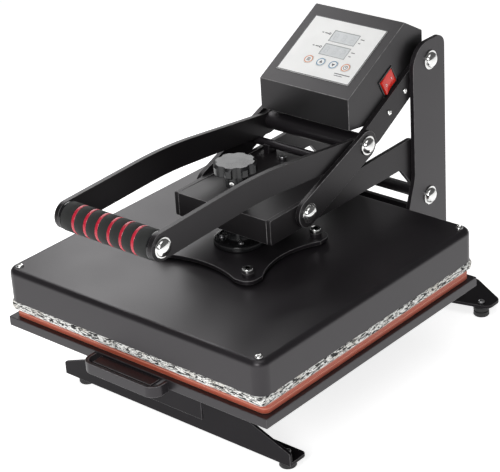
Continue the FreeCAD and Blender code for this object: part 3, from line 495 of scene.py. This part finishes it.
def dome(radius, base, height, start=0.0, steps=7):
    """Profile points of a dome from its rim, start degrees up, to its top."""
    points = []
    for step in range(steps):
        angle = math.radians(start + (90 - start) * step / (steps - 1))
        points.append((radius * math.cos(angle), base + height * math.sin(angle)))
    points[-1] = (0, points[-1][1])
    return points


def ring_points(mesh, radius, height, count):
    made = bmesh.ops.create_circle(mesh, cap_ends=False, segments=count, radius=radius * MM)
    bmesh.ops.translate(mesh, verts=made["verts"], vec=(0, 0, height * MM))
    return made["verts"]


def loop_edges(verts):
    inside = set(verts)
    return list({edge for vert in verts for edge in vert.link_edges
                 if all(end in inside for end in edge.verts)})


def bridge(mesh, first, second):
    bmesh.ops.bridge_loops(mesh, edges=loop_edges(first) + loop_edges(second))


def cap(mesh, verts):
    bmesh.ops.contextual_create(mesh, geom=verts)


# ---------------------------------------------------------------- fasteners

WASHER_RADIUS = 11.8


def pivot_head(head_radius, head_height, shank):
    """Polished domed bolt head on its washer, outwards along +Z, with its shank behind."""
    outer, shank_radius = WASHER_RADIUS, WASHER_RADIUS / 2
    washer = spun([(0, -shank), (shank_radius, -shank), (shank_radius, 0), (outer - 0.3, 0),
                   (outer, 0.3), (outer, 1.2), (outer - 0.5, 1.6), (head_radius + 0.4, 1.6),
                   (head_radius + 0.1, 1.35), (0, 1.35)], 56)
    skirt = [(0, 1.3), (head_radius - 0.4, 1.3), (head_radius, 1.7), (head_radius, 2.6)]
    head = spun(skirt + dome(head_radius, 2.4, head_height - 0.8, start=8), 56)
    return joined([washer, head])


def cross_head(radius, height):
    """Pan head with a cross recess, outwards along +Z."""
    arm, width, depth = radius * 0.62, radius * 0.17, height * 0.55
    outline = []
    for quarter in range(4):
        turn = Matrix.Rotation(-quarter * math.pi / 2, 2)
        shape = [Vector((-width, arm)), Vector((0, arm * 1.04)), Vector((width, arm)),
                 Vector((width, width))]
        outline += [turn @ point for point in shape]
    mesh = bmesh.new()
    top = height * 0.93
    rim = [mesh.verts.new((x * MM, y * MM, top * MM)) for x, y in outline]
    floor = [mesh.verts.new((x * 0.8 * MM, y * 0.8 * MM, (top - depth) * MM)) for x, y in outline]
    for ring in (rim, floor):
        for ends in zip(ring, ring[1:] + ring[:1]):
            mesh.edges.new(ends)
    rings = [rim]
    for share, rise in ((0.78, 0.86), (0.93, 0.62), (1.0, 0.3), (1.0, 0.0)):
        rings.append(ring_points(mesh, radius * share, height * rise, len(outline)))
    for first, second in zip(rings, rings[1:]):
        bridge(mesh, first, second)
    bridge(mesh, rim, floor)
    cap(mesh, floor)
    cap(mesh, rings[-1])
    bmesh.ops.recalc_face_normals(mesh, faces=mesh.faces)
    return mesh


def socket_cap(radius, height, socket, depth):
    """Knurled cap screw with a hexagon socket, outwards along +Z."""
    count = 48
    mesh = bmesh.new()
    rows = [(radius - 0.3, 0.0), (radius, 0.4), (radius, height - 0.9),
            (radius - 0.5, height - 0.1), (radius - 0.9, height)]
    rings = [ring_points(mesh, reach, rise, count) for reach, rise in rows]
    for ring in rings[1:3]:
        for number, vert in enumerate(ring):
            share = 0.975 if number % 2 else 1.0
            vert.co.x *= share
            vert.co.y *= share
    for first, second in zip(rings, rings[1:]):
        bridge(mesh, first, second)
    lip = ring_points(mesh, socket, height, 6)
    throat = ring_points(mesh, socket, height - depth, 6)
    bridge(mesh, rings[-1], lip)
    bridge(mesh, lip, throat)
    cap(mesh, throat)
    cap(mesh, rings[0])
    bmesh.ops.recalc_face_normals(mesh, faces=mesh.faces)
    return mesh


def heads_on(name, node, slot, make, spots):
    """One piece that holds the same head at several spots, for a node of fasteners."""
    meshes = [placed(make(), place, axis) for place, axis in spots]
    return of_slot(name, joined(meshes), BODY_OF[node], slot, replaces=[node], sharp=35)


def side_spots(node, seat):
    """Where each of a node's side fasteners sits, x = seat on either side, and its axis."""
    spots = []
    for low, high in solids_of(node):
        middle = (low + high) / 2
        side = math.copysign(1, middle.x)
        spots.append(((side * seat, middle.y, middle.z), (side, 0, 0)))
    return spots


def upright_spots(node, rise=0.0):
    """Where each of a node's standing solids starts, and its axis."""
    return [(((low.x + high.x) / 2, (low.y + high.y) / 2, low.z + rise), (0, 0, 1))
            for low, high in solids_of(node)]


def joint(name):
    return next(joint for joint in frame["joints"] if joint["name"] == name)


def pivot_bolts():
    """Domed bolts at the four pivots and at the ends of the grip."""
    outside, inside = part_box("upright_right")[1].x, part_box("lever_right")[0].x
    lever_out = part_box("lever_right")[1].x
    through, single = (outside - inside) / MM, (lever_out - inside) / MM
    for node in ("lower_pivot_bolts", "upper_pivot_bolts"):
        heads_on(node.replace("bolts", "heads"), node, "polished_steel",
                 lambda: pivot_head(9.2, 5.6, through), side_spots(node, outside))
    heads_on("link_bolt_heads", "link_bolts", "polished_steel",
             lambda: pivot_head(9.2, 5.6, single), side_spots("link_bolts", outside))
    heads_on("grip_bolt_heads", "grip_bolts", "polished_steel",
             lambda: pivot_head(9.6, 5.4, single), side_spots("grip_bolts", lever_out))


def small_screws():
    heads_on("cover_screw_heads", "cover_screws", "polished_steel",
             lambda: cross_head(4.6, 2.3), upright_spots("cover_screws"))
    heads_on("foot_screw_heads", "foot_screws", "plain_steel",
             lambda: cross_head(4.2, 2.8), upright_spots("foot_screws"))
    heads_on("case_screw_heads", "case_screws", "polished_steel", lambda: cross_head(3.4, 2.2),
             side_spots("case_screws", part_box("lever_right")[1].x))
    heads_on("spreader_bolt_heads", "spreader_bolts", "polished_steel",
             lambda: socket_cap(6.6, 5.6, 3.0, 3.0), upright_spots("spreader_bolts"))


# ---------------------------------------------------------------- frame, arm and lever

def coated_steel():
    """Every cut and folded steel piece, its edges rounded, scuffed and painted with an edge highlight; the base
    pieces in a darker coat that is painted shade.
    """
    for node in ("upright_left", "upright_right", "spreader_plate"):
        softened(node, 0.55)
    pull_handle()
    for node in ("arm_plate_left", "arm_plate_right", "pressure_beam", "link_left", "link_right",
                 "lever_left", "lever_right"):
        softened(node, 0.55, finish="arm_black")
    # The base pieces take the darker coat, which is painted shade.
    for node in ("front_cross_bar", "rear_foot_plate", "slide_rail_left", "slide_rail_right",
                 "rear_tie_bar"):
        softened(node, 0.55, finish="base_black_painted_shade")
    for node in ("hinge_tube", "stop_rod", "elbow_tube", "case_base", "spreader_standoffs",
                 "cord_gland", "runner_left", "runner_right"):
        softened(node, 0.3, wear_and_highlight_amount=0.5)
    softened("control_case", 1.1, 3)
    softened("cover", 0.3)
    softened("lower_platen", 0.9, 3, wear_and_highlight_amount=0.2)
    for node in ("screw_nut", "pressure_screw"):
        softened(node, 0.25, prefix="machined")


def pull_handle():
    """The drawer's pull loop and the plain apron under it, which has the base's darker coat, painted shade."""
    pull = softened("pull_handle", 0.55)
    pull.data.materials.append(FINISHES["base_black_painted_shade"])
    low, high = min(solids_of("pull_handle"), key=lambda box: box[0].z)
    for face in pull.data.polygons:
        if low.y - MM < face.center.y < high.y + MM and face.center.z < high.z + MM:
            face.material_index = 1


def beam_screw():
    """Locking cap screw let into the top of the pressure beam."""
    low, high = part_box("pressure_beam")
    share_left, share_back = 0.38, 0.12
    spot = (low.x * share_left, high.y - (high.y - low.y) * share_back, high.z)
    cap_screw = placed(socket_cap(4.6, 4.2, 2.2, 2.4), spot)
    of_slot("beam_cap_screw", cap_screw, BODY_OF["pressure_beam"], "plain_steel", sharp=35)


def feet():
    """Moulded feet: a collar against the steel and a softer pad on the floor."""
    low, high = solids_of("rubber_feet")[0]
    radius, height = (high.x - low.x) / 2 / MM, (high.z - low.z) / MM
    profile = [(0, 0.6), (radius - 3.4, 0.6), (radius - 2.6, 0), (radius - 0.9, 0), (radius, 1.2),
               (radius - 0.3, height * 0.46), (radius - 1.3, height * 0.52),
               (radius - 1.3, height * 0.58), (radius, height * 0.64), (radius, height - 0.8),
               (radius - 0.8, height), (0, height)]
    heads_on("moulded_feet", "rubber_feet", "rubber_black", lambda: spun(profile, 40),
             upright_spots("rubber_feet"))


def thrust_collar():
    """Bearing collar under the screw, with its retaining screws and its neck."""
    low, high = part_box("thrust_boss")
    middle = centre_of("thrust_boss")
    radius, top = (high.x - low.x) / 2 / MM, (high.z - low.z) / MM
    neck, tread, screw_circle = 14, 6.2, 20.5
    disc = spun([(0, 0), (radius - 1.2, 0), (radius, 1.2), (radius, 5.4), (radius - 0.5, 6.5),
                 (radius - 1.6, 7.0), (radius - 5, 7.0), (radius - 6, tread), (neck + 2.5, tread),
                 (neck + 0.6, 7.4), (neck, 9), (neck, top - 1), (neck - 1, top), (0, top)], 64)
    of_slot("collar", placed(disc, (middle.x, middle.y, low.z)), BODY_OF["thrust_boss"],
            "gloss_black", replaces=["thrust_boss"], sharp=32)
    heads = []
    for number in range(4):
        angle = math.radians(45 + 90 * number)
        away = Vector((math.cos(angle), math.sin(angle))) * screw_circle * MM
        spot = (middle.x + away.x, middle.y + away.y, low.z + tread * MM)
        heads.append(placed(socket_cap(3.2, 2.6, 1.5, 1.4), spot))
    of_slot("collar_screws", joined(heads), BODY_OF["thrust_boss"], "plain_steel", sharp=35)


def star_knob():
    """Fluted knob, with the grub screw that locks its hub to the pressure screw."""
    softened("knob", 1.3, 3, prefix="moulded")
    hub_reach, grub_height = 11.3, 6.5
    side = Vector((0.35, -1, 0)).normalized()
    spot = centre_of("knob")
    spot.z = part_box("knob")[0].z + grub_height * MM
    grub = placed(socket_cap(3.2, 2.4, 1.5, 1.4), spot + side * hub_reach * MM, side)
    of_slot("grub_screw", grub, BODY_OF["knob"], "polished_steel", sharp=35)


def grip():
    """Foam sleeve with coloured rings let into it, and glossy collars at its ends."""
    middle = centre_of("grip_foam")
    low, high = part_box("grip_foam")
    half, radius = (high.x - low.x) / 2 / MM, (high.z - low.z) / 2 / MM
    bands = sorted(((low + high) / 2 - middle).x / MM for low, high in solids_of("grip_rings"))
    width = min((high - low).x for low, high in solids_of("grip_rings")) / MM + 0.2
    bore, groove, crown_steps = 11.1, 2.0, 6
    profile = [(bore, -half), (radius - 1.2, -half), (radius, -half + 1.4)]
    rings = []
    for place in bands:
        profile += [(radius, place - width / 2 - 0.3), (radius - 0.3, place - width / 2),
                    (radius - groove, place - width / 2), (radius - groove, place + width / 2),
                    (radius - 0.3, place + width / 2), (radius, place + width / 2 + 0.3)]
        edge = width / 2 - 0.05
        band = [(radius - 1.9, place - edge), (radius - 0.4, place - edge)]
        for step in range(1, crown_steps):
            angle = math.pi * step / crown_steps
            band.append((radius - 0.4 + 0.45 * math.sin(angle), place - edge * math.cos(angle)))
        band += [(radius - 0.4, place + edge), (radius - 1.9, place + edge)]
        rings.append(placed(spun(band + band[:1], 56), middle, (1, 0, 0)))
    profile += [(radius, half - 1.4), (radius - 1.2, half), (bore, half)]
    sleeve = placed(spun(profile + profile[:1], 64), middle, (1, 0, 0))
    of_slot("foam_sleeve", sleeve, BODY_OF["grip_foam"], "foam_grey",
                      replaces=["grip_foam"], sharp=50)
    of_slot("grip_bands", joined(rings), BODY_OF["grip_rings"], "ring_red",
            replaces=["grip_rings"], sharp=50)
    tube_low, tube_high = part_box("grip_tube")
    reach, collar = (tube_high.x - tube_low.x) / 2 / MM, (tube_high.z - tube_low.z) / 2 / MM
    core = [(0, -reach), (collar - 0.6, -reach), (collar, -reach + 0.6), (collar, -half - 0.5),
            (collar - 0.5, -half - 0.1), (10.9, -half - 0.1)]
    core += [(across, -along) for across, along in reversed(core)]
    of_slot("grip_core", placed(spun(core, 56), middle, (1, 0, 0)), BODY_OF["grip_tube"],
            "gloss_black", replaces=["grip_tube"], sharp=40)


# ---------------------------------------------------------------- control box

NORMAL_IN = Vector(joint("key_set_press")["axis"])
FACE_UP = -NORMAL_IN
FACE_BACK = FACE_UP.cross(Vector((1, 0, 0)))
FILM = 0.8 * MM
INK_RISE = 0.86
INK_DEPTH = 0.08
DIGIT_RISE = 0.68


def face_frame():
    """From (right, up the slope, off the face) at the panel's front edge to the machine."""
    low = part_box("display_panel")[0]
    start = Vector((0, low.y - FACE_UP.y * FILM, low.z))
    turn = Matrix((Vector((1, 0, 0)), FACE_BACK, FACE_UP)).transposed().to_4x4()
    return Matrix.Translation(start) @ turn


FACE = face_frame()


def on_face(point):
    """A machine point's (right, up the slope) place on the face, in mm."""
    local = FACE.inverted() @ point
    return local.x / MM, local.y / MM


def bar(across, along, length, width, rise=INK_RISE):
    """A printed bar in the face's own frame, in mm."""
    mesh = bmesh.new()
    bmesh.ops.create_cube(mesh, size=MM)
    bmesh.ops.scale(mesh, vec=(length, width, INK_DEPTH), verts=mesh.verts)
    bmesh.ops.translate(mesh, vec=Vector((across, along, rise)) * MM, verts=mesh.verts)
    return mesh


def printed_ring(across, along, outer, inner, rise=INK_RISE):
    half = INK_DEPTH / 2
    profile = [(inner, -half), (outer, -half), (outer, half), (inner, half)]
    mesh = spun(profile + profile[:1], 40)
    bmesh.ops.translate(mesh, vec=Vector((across, along, rise)) * MM, verts=mesh.verts)
    return mesh


def printed_triangle(across, along, size, turn, rise):
    mesh = bmesh.new()
    made = bmesh.ops.create_cone(mesh, cap_ends=True, segments=3, radius1=size * MM,
                                 radius2=size * MM, depth=INK_DEPTH * MM)
    bmesh.ops.rotate(mesh, matrix=Matrix.Rotation(math.radians(turn), 3, "Z"),
                     verts=made["verts"])
    bmesh.ops.translate(mesh, vec=Vector((across, along, rise)) * MM, verts=mesh.verts)
    return mesh


def outline_bars(low, high, width):
    """Four printed bars round a rectangle."""
    across, along = (low[0] + high[0]) / 2, (low[1] + high[1]) / 2
    wide, tall = high[0] - low[0], high[1] - low[1]
    return [bar(across, low[1], wide + width, width), bar(across, high[1], wide + width, width),
            bar(low[0], along, width, tall - width), bar(high[0], along, width, tall - width)]


def printed(name, meshes, body, finish):
    mesh = joined(meshes)
    bmesh.ops.transform(mesh, matrix=FACE, verts=mesh.verts)
    return piece(name, mesh, body, INKS[finish])


def seven_segments(across, along, tall):
    """The unlit bars of one display digit."""
    wide, thick = tall * 0.52, tall * 0.12
    bars = [bar(across, along + tall * side / 2, wide - thick, thick, DIGIT_RISE)
            for side in (-1, 0, 1)]
    for x_side in (-1, 1):
        for y_side in (-1, 1):
            bars.append(bar(across + x_side * wide / 2, along + y_side * tall / 4,
                            thick, tall / 2 - thick, DIGIT_RISE))
    return bars


def panel():
    """The printed film: its border, two display windows, and plain marks beside them."""
    softened("display_panel", 0.12, prefix="printed")
    softened("display_windows", 0.2, prefix="clear")
    low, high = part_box("display_panel")
    half = high.x / MM
    length = (high.z - low.z) / FACE_BACK.z / MM
    margin, border = 0.7, 1.0
    lever_body = BODY_OF["display_panel"]
    border_bars = outline_bars((-half + margin, margin), (half - margin, length - margin), border)
    printed("panel_border", border_bars, lever_body, "ink_dark")
    window_low, window_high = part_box("display_windows")
    left, right = window_low.x / MM, window_high.x / MM
    height, pitch, gap, line = 16.8, 21.5, 0.3, 0.7
    first = on_face(Vector((0, window_low.y, window_low.z)))[1] + 2 * gap
    places, digit_share = 3, 0.52
    frames, digits, marks = [], [], []
    for row in range(2):
        base = first + pitch * row
        frames += outline_bars((left - gap, base), (right + gap, base + height), line)
        for place in range(places):
            centre = left + (right - left) * (place + 0.5) / places
            digits += seven_segments(centre, base + height / 2, height * digit_share)
        beside, upper, lower = (base + height * share for share in (0.62, 0.70, 0.34))
        marks += [bar(left - 9, beside, 5.4, 1.2), bar(left - 14.8, beside, 2.6, 1.2),
                  printed_ring(left - 4.5, beside, 1.7, 0.8),
                  bar(right + 6.5, upper, 5.4, 1.1), bar(right + 5.4, lower, 3.2, 1.1)]
    marks += [bar(half - 17, 12.5, 22, 1.1), bar(half - 21, 9.6, 12, 0.8)]
    printed("window_frames", frames, lever_body, "ink_faint")
    printed("display_digits", digits, lever_body, "ink_unlit")
    printed("panel_marks", marks, lever_body, "ink_dark")


def key_print():
    """Coloured rings and plain symbols on the four keys."""
    rings = {"key_set": "ink_orange", "key_up": "ink_blue", "key_down": "ink_blue",
             "key_timer": "ink_orange"}
    outer, inner = 5.7, 4.6
    for key, tone in rings.items():
        softened(key, 0.25, prefix="film", wear_and_highlight_amount=0.0)
        x, y = on_face(centre_of(key))
        low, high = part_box(key)
        disc = (high.x - low.x) / 2
        thick = ((high.z - low.z) - 2 * disc * FACE_BACK.z) / FACE_UP.z
        top = ((FACE.inverted() @ centre_of(key)).z + thick / 2) / MM + 0.04
        body = BODY_OF[key]
        printed(key + "_ring", [printed_ring(x, y, outer, inner, rise=top)], body, tone)
        if key == "key_set":
            marks = [bar(x, y + step, 4.6, 0.9, rise=top) for step in (-1.7, 0, 1.7)]
        elif key == "key_timer":
            marks = [printed_ring(x, y, 3.0, 2.3, rise=top), bar(x, y + 0.9, 0.6, 1.8, rise=top),
                     bar(x + 0.7, y, 1.4, 0.6, rise=top)]
        else:
            turn = 0 if key == "key_up" else 180
            marks = [printed_triangle(x, y, 2.6, turn, rise=top)]
        printed(key + "_symbol", marks, body, "ink_dark")


def power_switch():
    """Rocker with its two halves meeting in a shallow valley, and its on and off marks."""
    softened("switch_bezel", 0.45, prefix="moulded")
    rocker = copied("power_rocker")
    middle = centre_of("power_rocker")
    cut_pitch, half_length, valley = 3, 13, 1.1
    for step in range(-3, 4):
        bmesh.ops.bisect_plane(rocker, geom=rocker.verts[:] + rocker.edges[:] + rocker.faces[:],
                               plane_co=middle + FACE_BACK * step * cut_pitch * MM,
                               plane_no=FACE_BACK)
    half = (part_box("power_rocker")[1] - middle).x
    for vert in rocker.verts:
        if vert.co.x > middle.x + half * 0.5:
            away = abs((vert.co - middle).dot(FACE_BACK)) / (half_length * MM)
            vert.co.x -= (1 - min(away, 1)) * valley * MM
    soften(rocker, 0.35 * MM, 2, 40)
    of_slot("rocker_cap", rocker, BODY_OF["power_rocker"], "rocker_red",
            replaces=["power_rocker"], sharp=30)
    to_side = Matrix((-FACE_UP, FACE_BACK, Vector((1, 0, 0)))).transposed().to_4x4()
    marks = []
    for place, shape in ((6.2, "on"), (-6.2, "off")):
        mesh = bar(0, 0, 3.4, 0.8, rise=0) if shape == "on" else printed_ring(0, 0, 1.9, 1.25, 0)
        sunk = 1.05 + (0.5 + place / half_length) * 0.9
        spot = middle + FACE_BACK * place * MM
        spot.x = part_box("power_rocker")[1].x - sunk * MM
        bmesh.ops.transform(mesh, matrix=Matrix.Translation(spot) @ to_side, verts=mesh.verts)
        marks.append(mesh)
    piece("rocker_marks", joined(marks), BODY_OF["power_rocker"], INKS["ink_pale"])


# ---------------------------------------------------------------- platens

def rounded_slab(half_x, half_y, low, high, corner, edge, middle):
    """A slab with round corners and soft edges, in mm about its middle."""
    mesh = bmesh.new()
    bmesh.ops.create_cube(mesh, size=MM)
    bmesh.ops.scale(mesh, vec=(2 * half_x, 2 * half_y, high - low), verts=mesh.verts)
    bmesh.ops.translate(mesh, vec=(middle.x, middle.y, (low + high) / 2 * MM), verts=mesh.verts)
    upright = [line for line in mesh.edges if abs(line.verts[0].co.z - line.verts[1].co.z) > MM]
    bmesh.ops.bevel(mesh, geom=upright, offset=corner * MM, offset_type="OFFSET", affect="EDGES",
                    segments=8, profile=0.5, material=-1, clamp_overlap=True)
    level = [line for line in mesh.edges
             if len(line.link_faces) == 2 and line.calc_face_angle(0) > 1.0
             and abs(line.verts[0].co.z - line.verts[1].co.z) < 0.001 * MM]
    made = bmesh.ops.bevel(mesh, geom=level, offset=edge * MM, offset_type="OFFSET",
                           affect="EDGES", segments=4, profile=0.5, material=-1,
                           clamp_overlap=True)
    mark_wear_and_highlight(mesh, made["faces"])
    return mesh


def silicone_pad():
    """Two bonded silicone sheets, each with round corners and soft edges that carry a painted highlight."""
    low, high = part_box("silicone_pad")
    middle = centre_of("silicone_pad")
    half_x, half_y = (high.x - low.x) / 2 / MM, (high.y - low.y) / 2 / MM
    corner, edge = 8.0, 1.1
    seam = (low.z * 0.45 + high.z * 0.55) / MM
    layers = [rounded_slab(half_x, half_y, base, top, corner, edge, middle)
              for base, top in ((low.z / MM, seam), (seam, high.z / MM))]
    pad = of_slot("moulded_pad", joined(layers), BODY_OF["silicone_pad"], "silicone",
                  replaces=["silicone_pad"], sharp=60, weighted=True)


def rounded_path(half_x, half_y, corner, step):
    """Points round a rectangle with round corners, a step apart, in mm."""
    points, corner_steps = [], 6
    for turn, (wide, tall) in enumerate(((half_x, half_y), (half_y, half_x)) * 2):
        angle = turn * math.pi / 2
        side = Matrix.Rotation(angle, 2)
        count = int(2 * (tall - corner) / step)
        for number in range(count):
            along = (2 * number / count - 1) * (tall - corner)
            points.append(side @ Vector((wide, along)))
        for number in range(corner_steps):
            bend = math.pi / 2 * number / corner_steps
            points.append(side @ Vector((wide - corner + corner * math.cos(bend),
                                         tall - corner + corner * math.sin(bend))))
    return points


def crinkled_wrap():
    """The cloth that wraps the platen's edge: a band pushed in and out in small folds."""
    low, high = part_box("edge_wrap")
    middle = centre_of("edge_wrap")
    half_x, half_y = (high.x - low.x) / 2 / MM, (high.y - low.y) / 2 / MM
    mesh = bmesh.new()
    along = mesh.verts.layers.float.new("along")
    rise = mesh.verts.layers.float.new("rise")
    rows, step, corner = 6, 2.4, 6.0
    inset, fold_depth, fold_limit, cloth = 0.5, 0.7, (-0.9, 0.8), 0.4
    rings = []
    for row in range(rows + 1):
        share = row / rows
        tuck = inset + (abs(share - 0.5) * 2) ** 4
        ring = []
        path = rounded_path(half_x - tuck, half_y - tuck, corner, step)
        for number, point in enumerate(path):
            spot = Vector((middle.x + point.x * MM, middle.y + point.y * MM,
                           low.z + (high.z - low.z) * share))
            place = Vector((spot.x * 120, spot.y * 120, spot.z * 240))
            fold = noise.noise(place) + 0.6 * noise.noise(place * 2.3)
            away = Vector((point.x, point.y, 0)).normalized()
            spot += away * max(fold_limit[0], min(fold, fold_limit[1])) * fold_depth * MM
            vert = mesh.verts.new(spot)
            vert[along], vert[rise] = number * step * MM, spot.z
            ring.append(vert)
        for ends in zip(ring, ring[1:] + ring[:1]):
            mesh.edges.new(ends)
        rings.append(ring)
    for first, second in zip(rings, rings[1:]):
        bridge(mesh, first, second)
    bmesh.ops.recalc_face_normals(mesh, faces=mesh.faces)
    bmesh.ops.solidify(mesh, geom=mesh.faces, thickness=cloth * MM)
    of_slot("wrapped_edge", mesh, BODY_OF["edge_wrap"], "wrap_mottled", replaces=["edge_wrap"],
            sharp=70)


def heated_plate():
    """Milled plate, its corners rounded under the cloth."""
    low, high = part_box("heat_platen")
    corner, edge = 6.5, 0.6
    mesh = rounded_slab((high.x - low.x) / 2 / MM, (high.y - low.y) / 2 / MM,
                        low.z / MM, high.z / MM, corner, edge, centre_of("heat_platen"))
    of_slot("milled_plate", mesh, BODY_OF["heat_platen"], "aluminium",
            replaces=["heat_platen"], sharp=60, weighted=True)


# ---------------------------------------------------------------- studio

def camera():
    """Long lens from the machine's front right, a little tilted."""
    azimuth, elevation, roll = (math.radians(angle) for angle in (42.16, 26.29, -3.70))
    away = Vector((math.sin(azimuth) * math.cos(elevation),
                   -math.cos(azimuth) * math.cos(elevation), math.sin(elevation)))
    right = Vector((math.cos(azimuth), math.sin(azimuth), 0))
    up = away.cross(right)
    level = right * math.cos(roll) + up * math.sin(roll)
    lifted = up * math.cos(roll) - right * math.sin(roll)
    data = bpy.data.cameras.new("camera")
    data.sensor_width = 36.0
    data.lens = 131.33
    seen_from = bpy.data.objects.new("camera", data)
    turn = Matrix((level, lifted, away)).transposed().to_4x4()
    stand = Vector((1.2681, centre_of("heat_platen").y - 1.3833, 1.1155))
    seen_from.matrix_world = Matrix.Translation(stand) @ turn
    bpy.context.scene.collection.objects.link(seen_from)
    bpy.context.scene.camera = seen_from


def soft_box(name, place, target, size, power):
    data = bpy.data.lights.new(name, "AREA")
    data.shape = "RECTANGLE"
    data.size, data.size_y = size
    data.energy = power
    lamp = bpy.data.objects.new(name, data)
    facing = (Vector(place) - Vector(target)).to_track_quat("Z", "Y").to_matrix().to_4x4()
    lamp.matrix_world = Matrix.Translation(place) @ facing
    bpy.context.scene.collection.objects.link(lamp)


def studio():
    """A pale floor under soft boxes and an even pale room."""
    mesh = bmesh.new()
    bmesh.ops.create_grid(mesh, x_segments=2, y_segments=2, size=6.0)
    data = bpy.data.meshes.new("floor")
    mesh.to_mesh(data)
    mesh.free()
    floor = bpy.data.objects.new("floor", data)
    bpy.context.scene.collection.objects.link(floor)
    paper = Finish("floor_paper")
    data.materials.append(paper.surface(base_color=(0.85, 0.85, 0.85, 1), roughness=0.9,
                                        specular_ior_level=0.1, emission_color=(1, 1, 1, 1),
                                        emission_strength=0.80))
    world = bpy.data.worlds.new("room")
    bpy.context.scene.world = world
    world.use_nodes = True
    background = world.node_tree.nodes["Background"]
    background.inputs["Color"].default_value = (1.0, 1.0, 1.0, 1)
    background.inputs["Strength"].default_value = 0.12
    soft_box("overhead", (0.3, -0.5, 2.3), (0, 0, 0), (1.5, 1.5), 12)
    soft_box("front", (0.9, -2.0, 1.3), (0, 0, 0.1), (0.9, 0.9), 24)
    soft_box("up_left", (-0.52, 0.12, 0.80), (-0.06, 0.1, 0.36), (0.5, 0.5), 2.1)
    soft_box("back_left", (-0.88, 0.68, 0.66), (-0.15, -0.1, 0.17), (0.55, 0.5), 1.9)
    bpy.context.scene.view_settings.view_transform = "Standard"


# ---------------------------------------------------------------- the whole press

def keep_inside_nodes():
    """Every node gets its finish; the sealed ones keep their own shape too."""
    for node, thing in frame["nodes"].items():
        thing.data.materials.clear()
        thing.data.materials.append(FINISHES[SLOT_OF[node]])


keep_inside_nodes()
coated_steel()
pivot_bolts()
small_screws()
feet()
beam_screw()
thrust_collar()
star_knob()
grip()
panel()
key_print()
power_switch()
silicone_pad()
crinkled_wrap()
heated_plate()
camera()
studio()
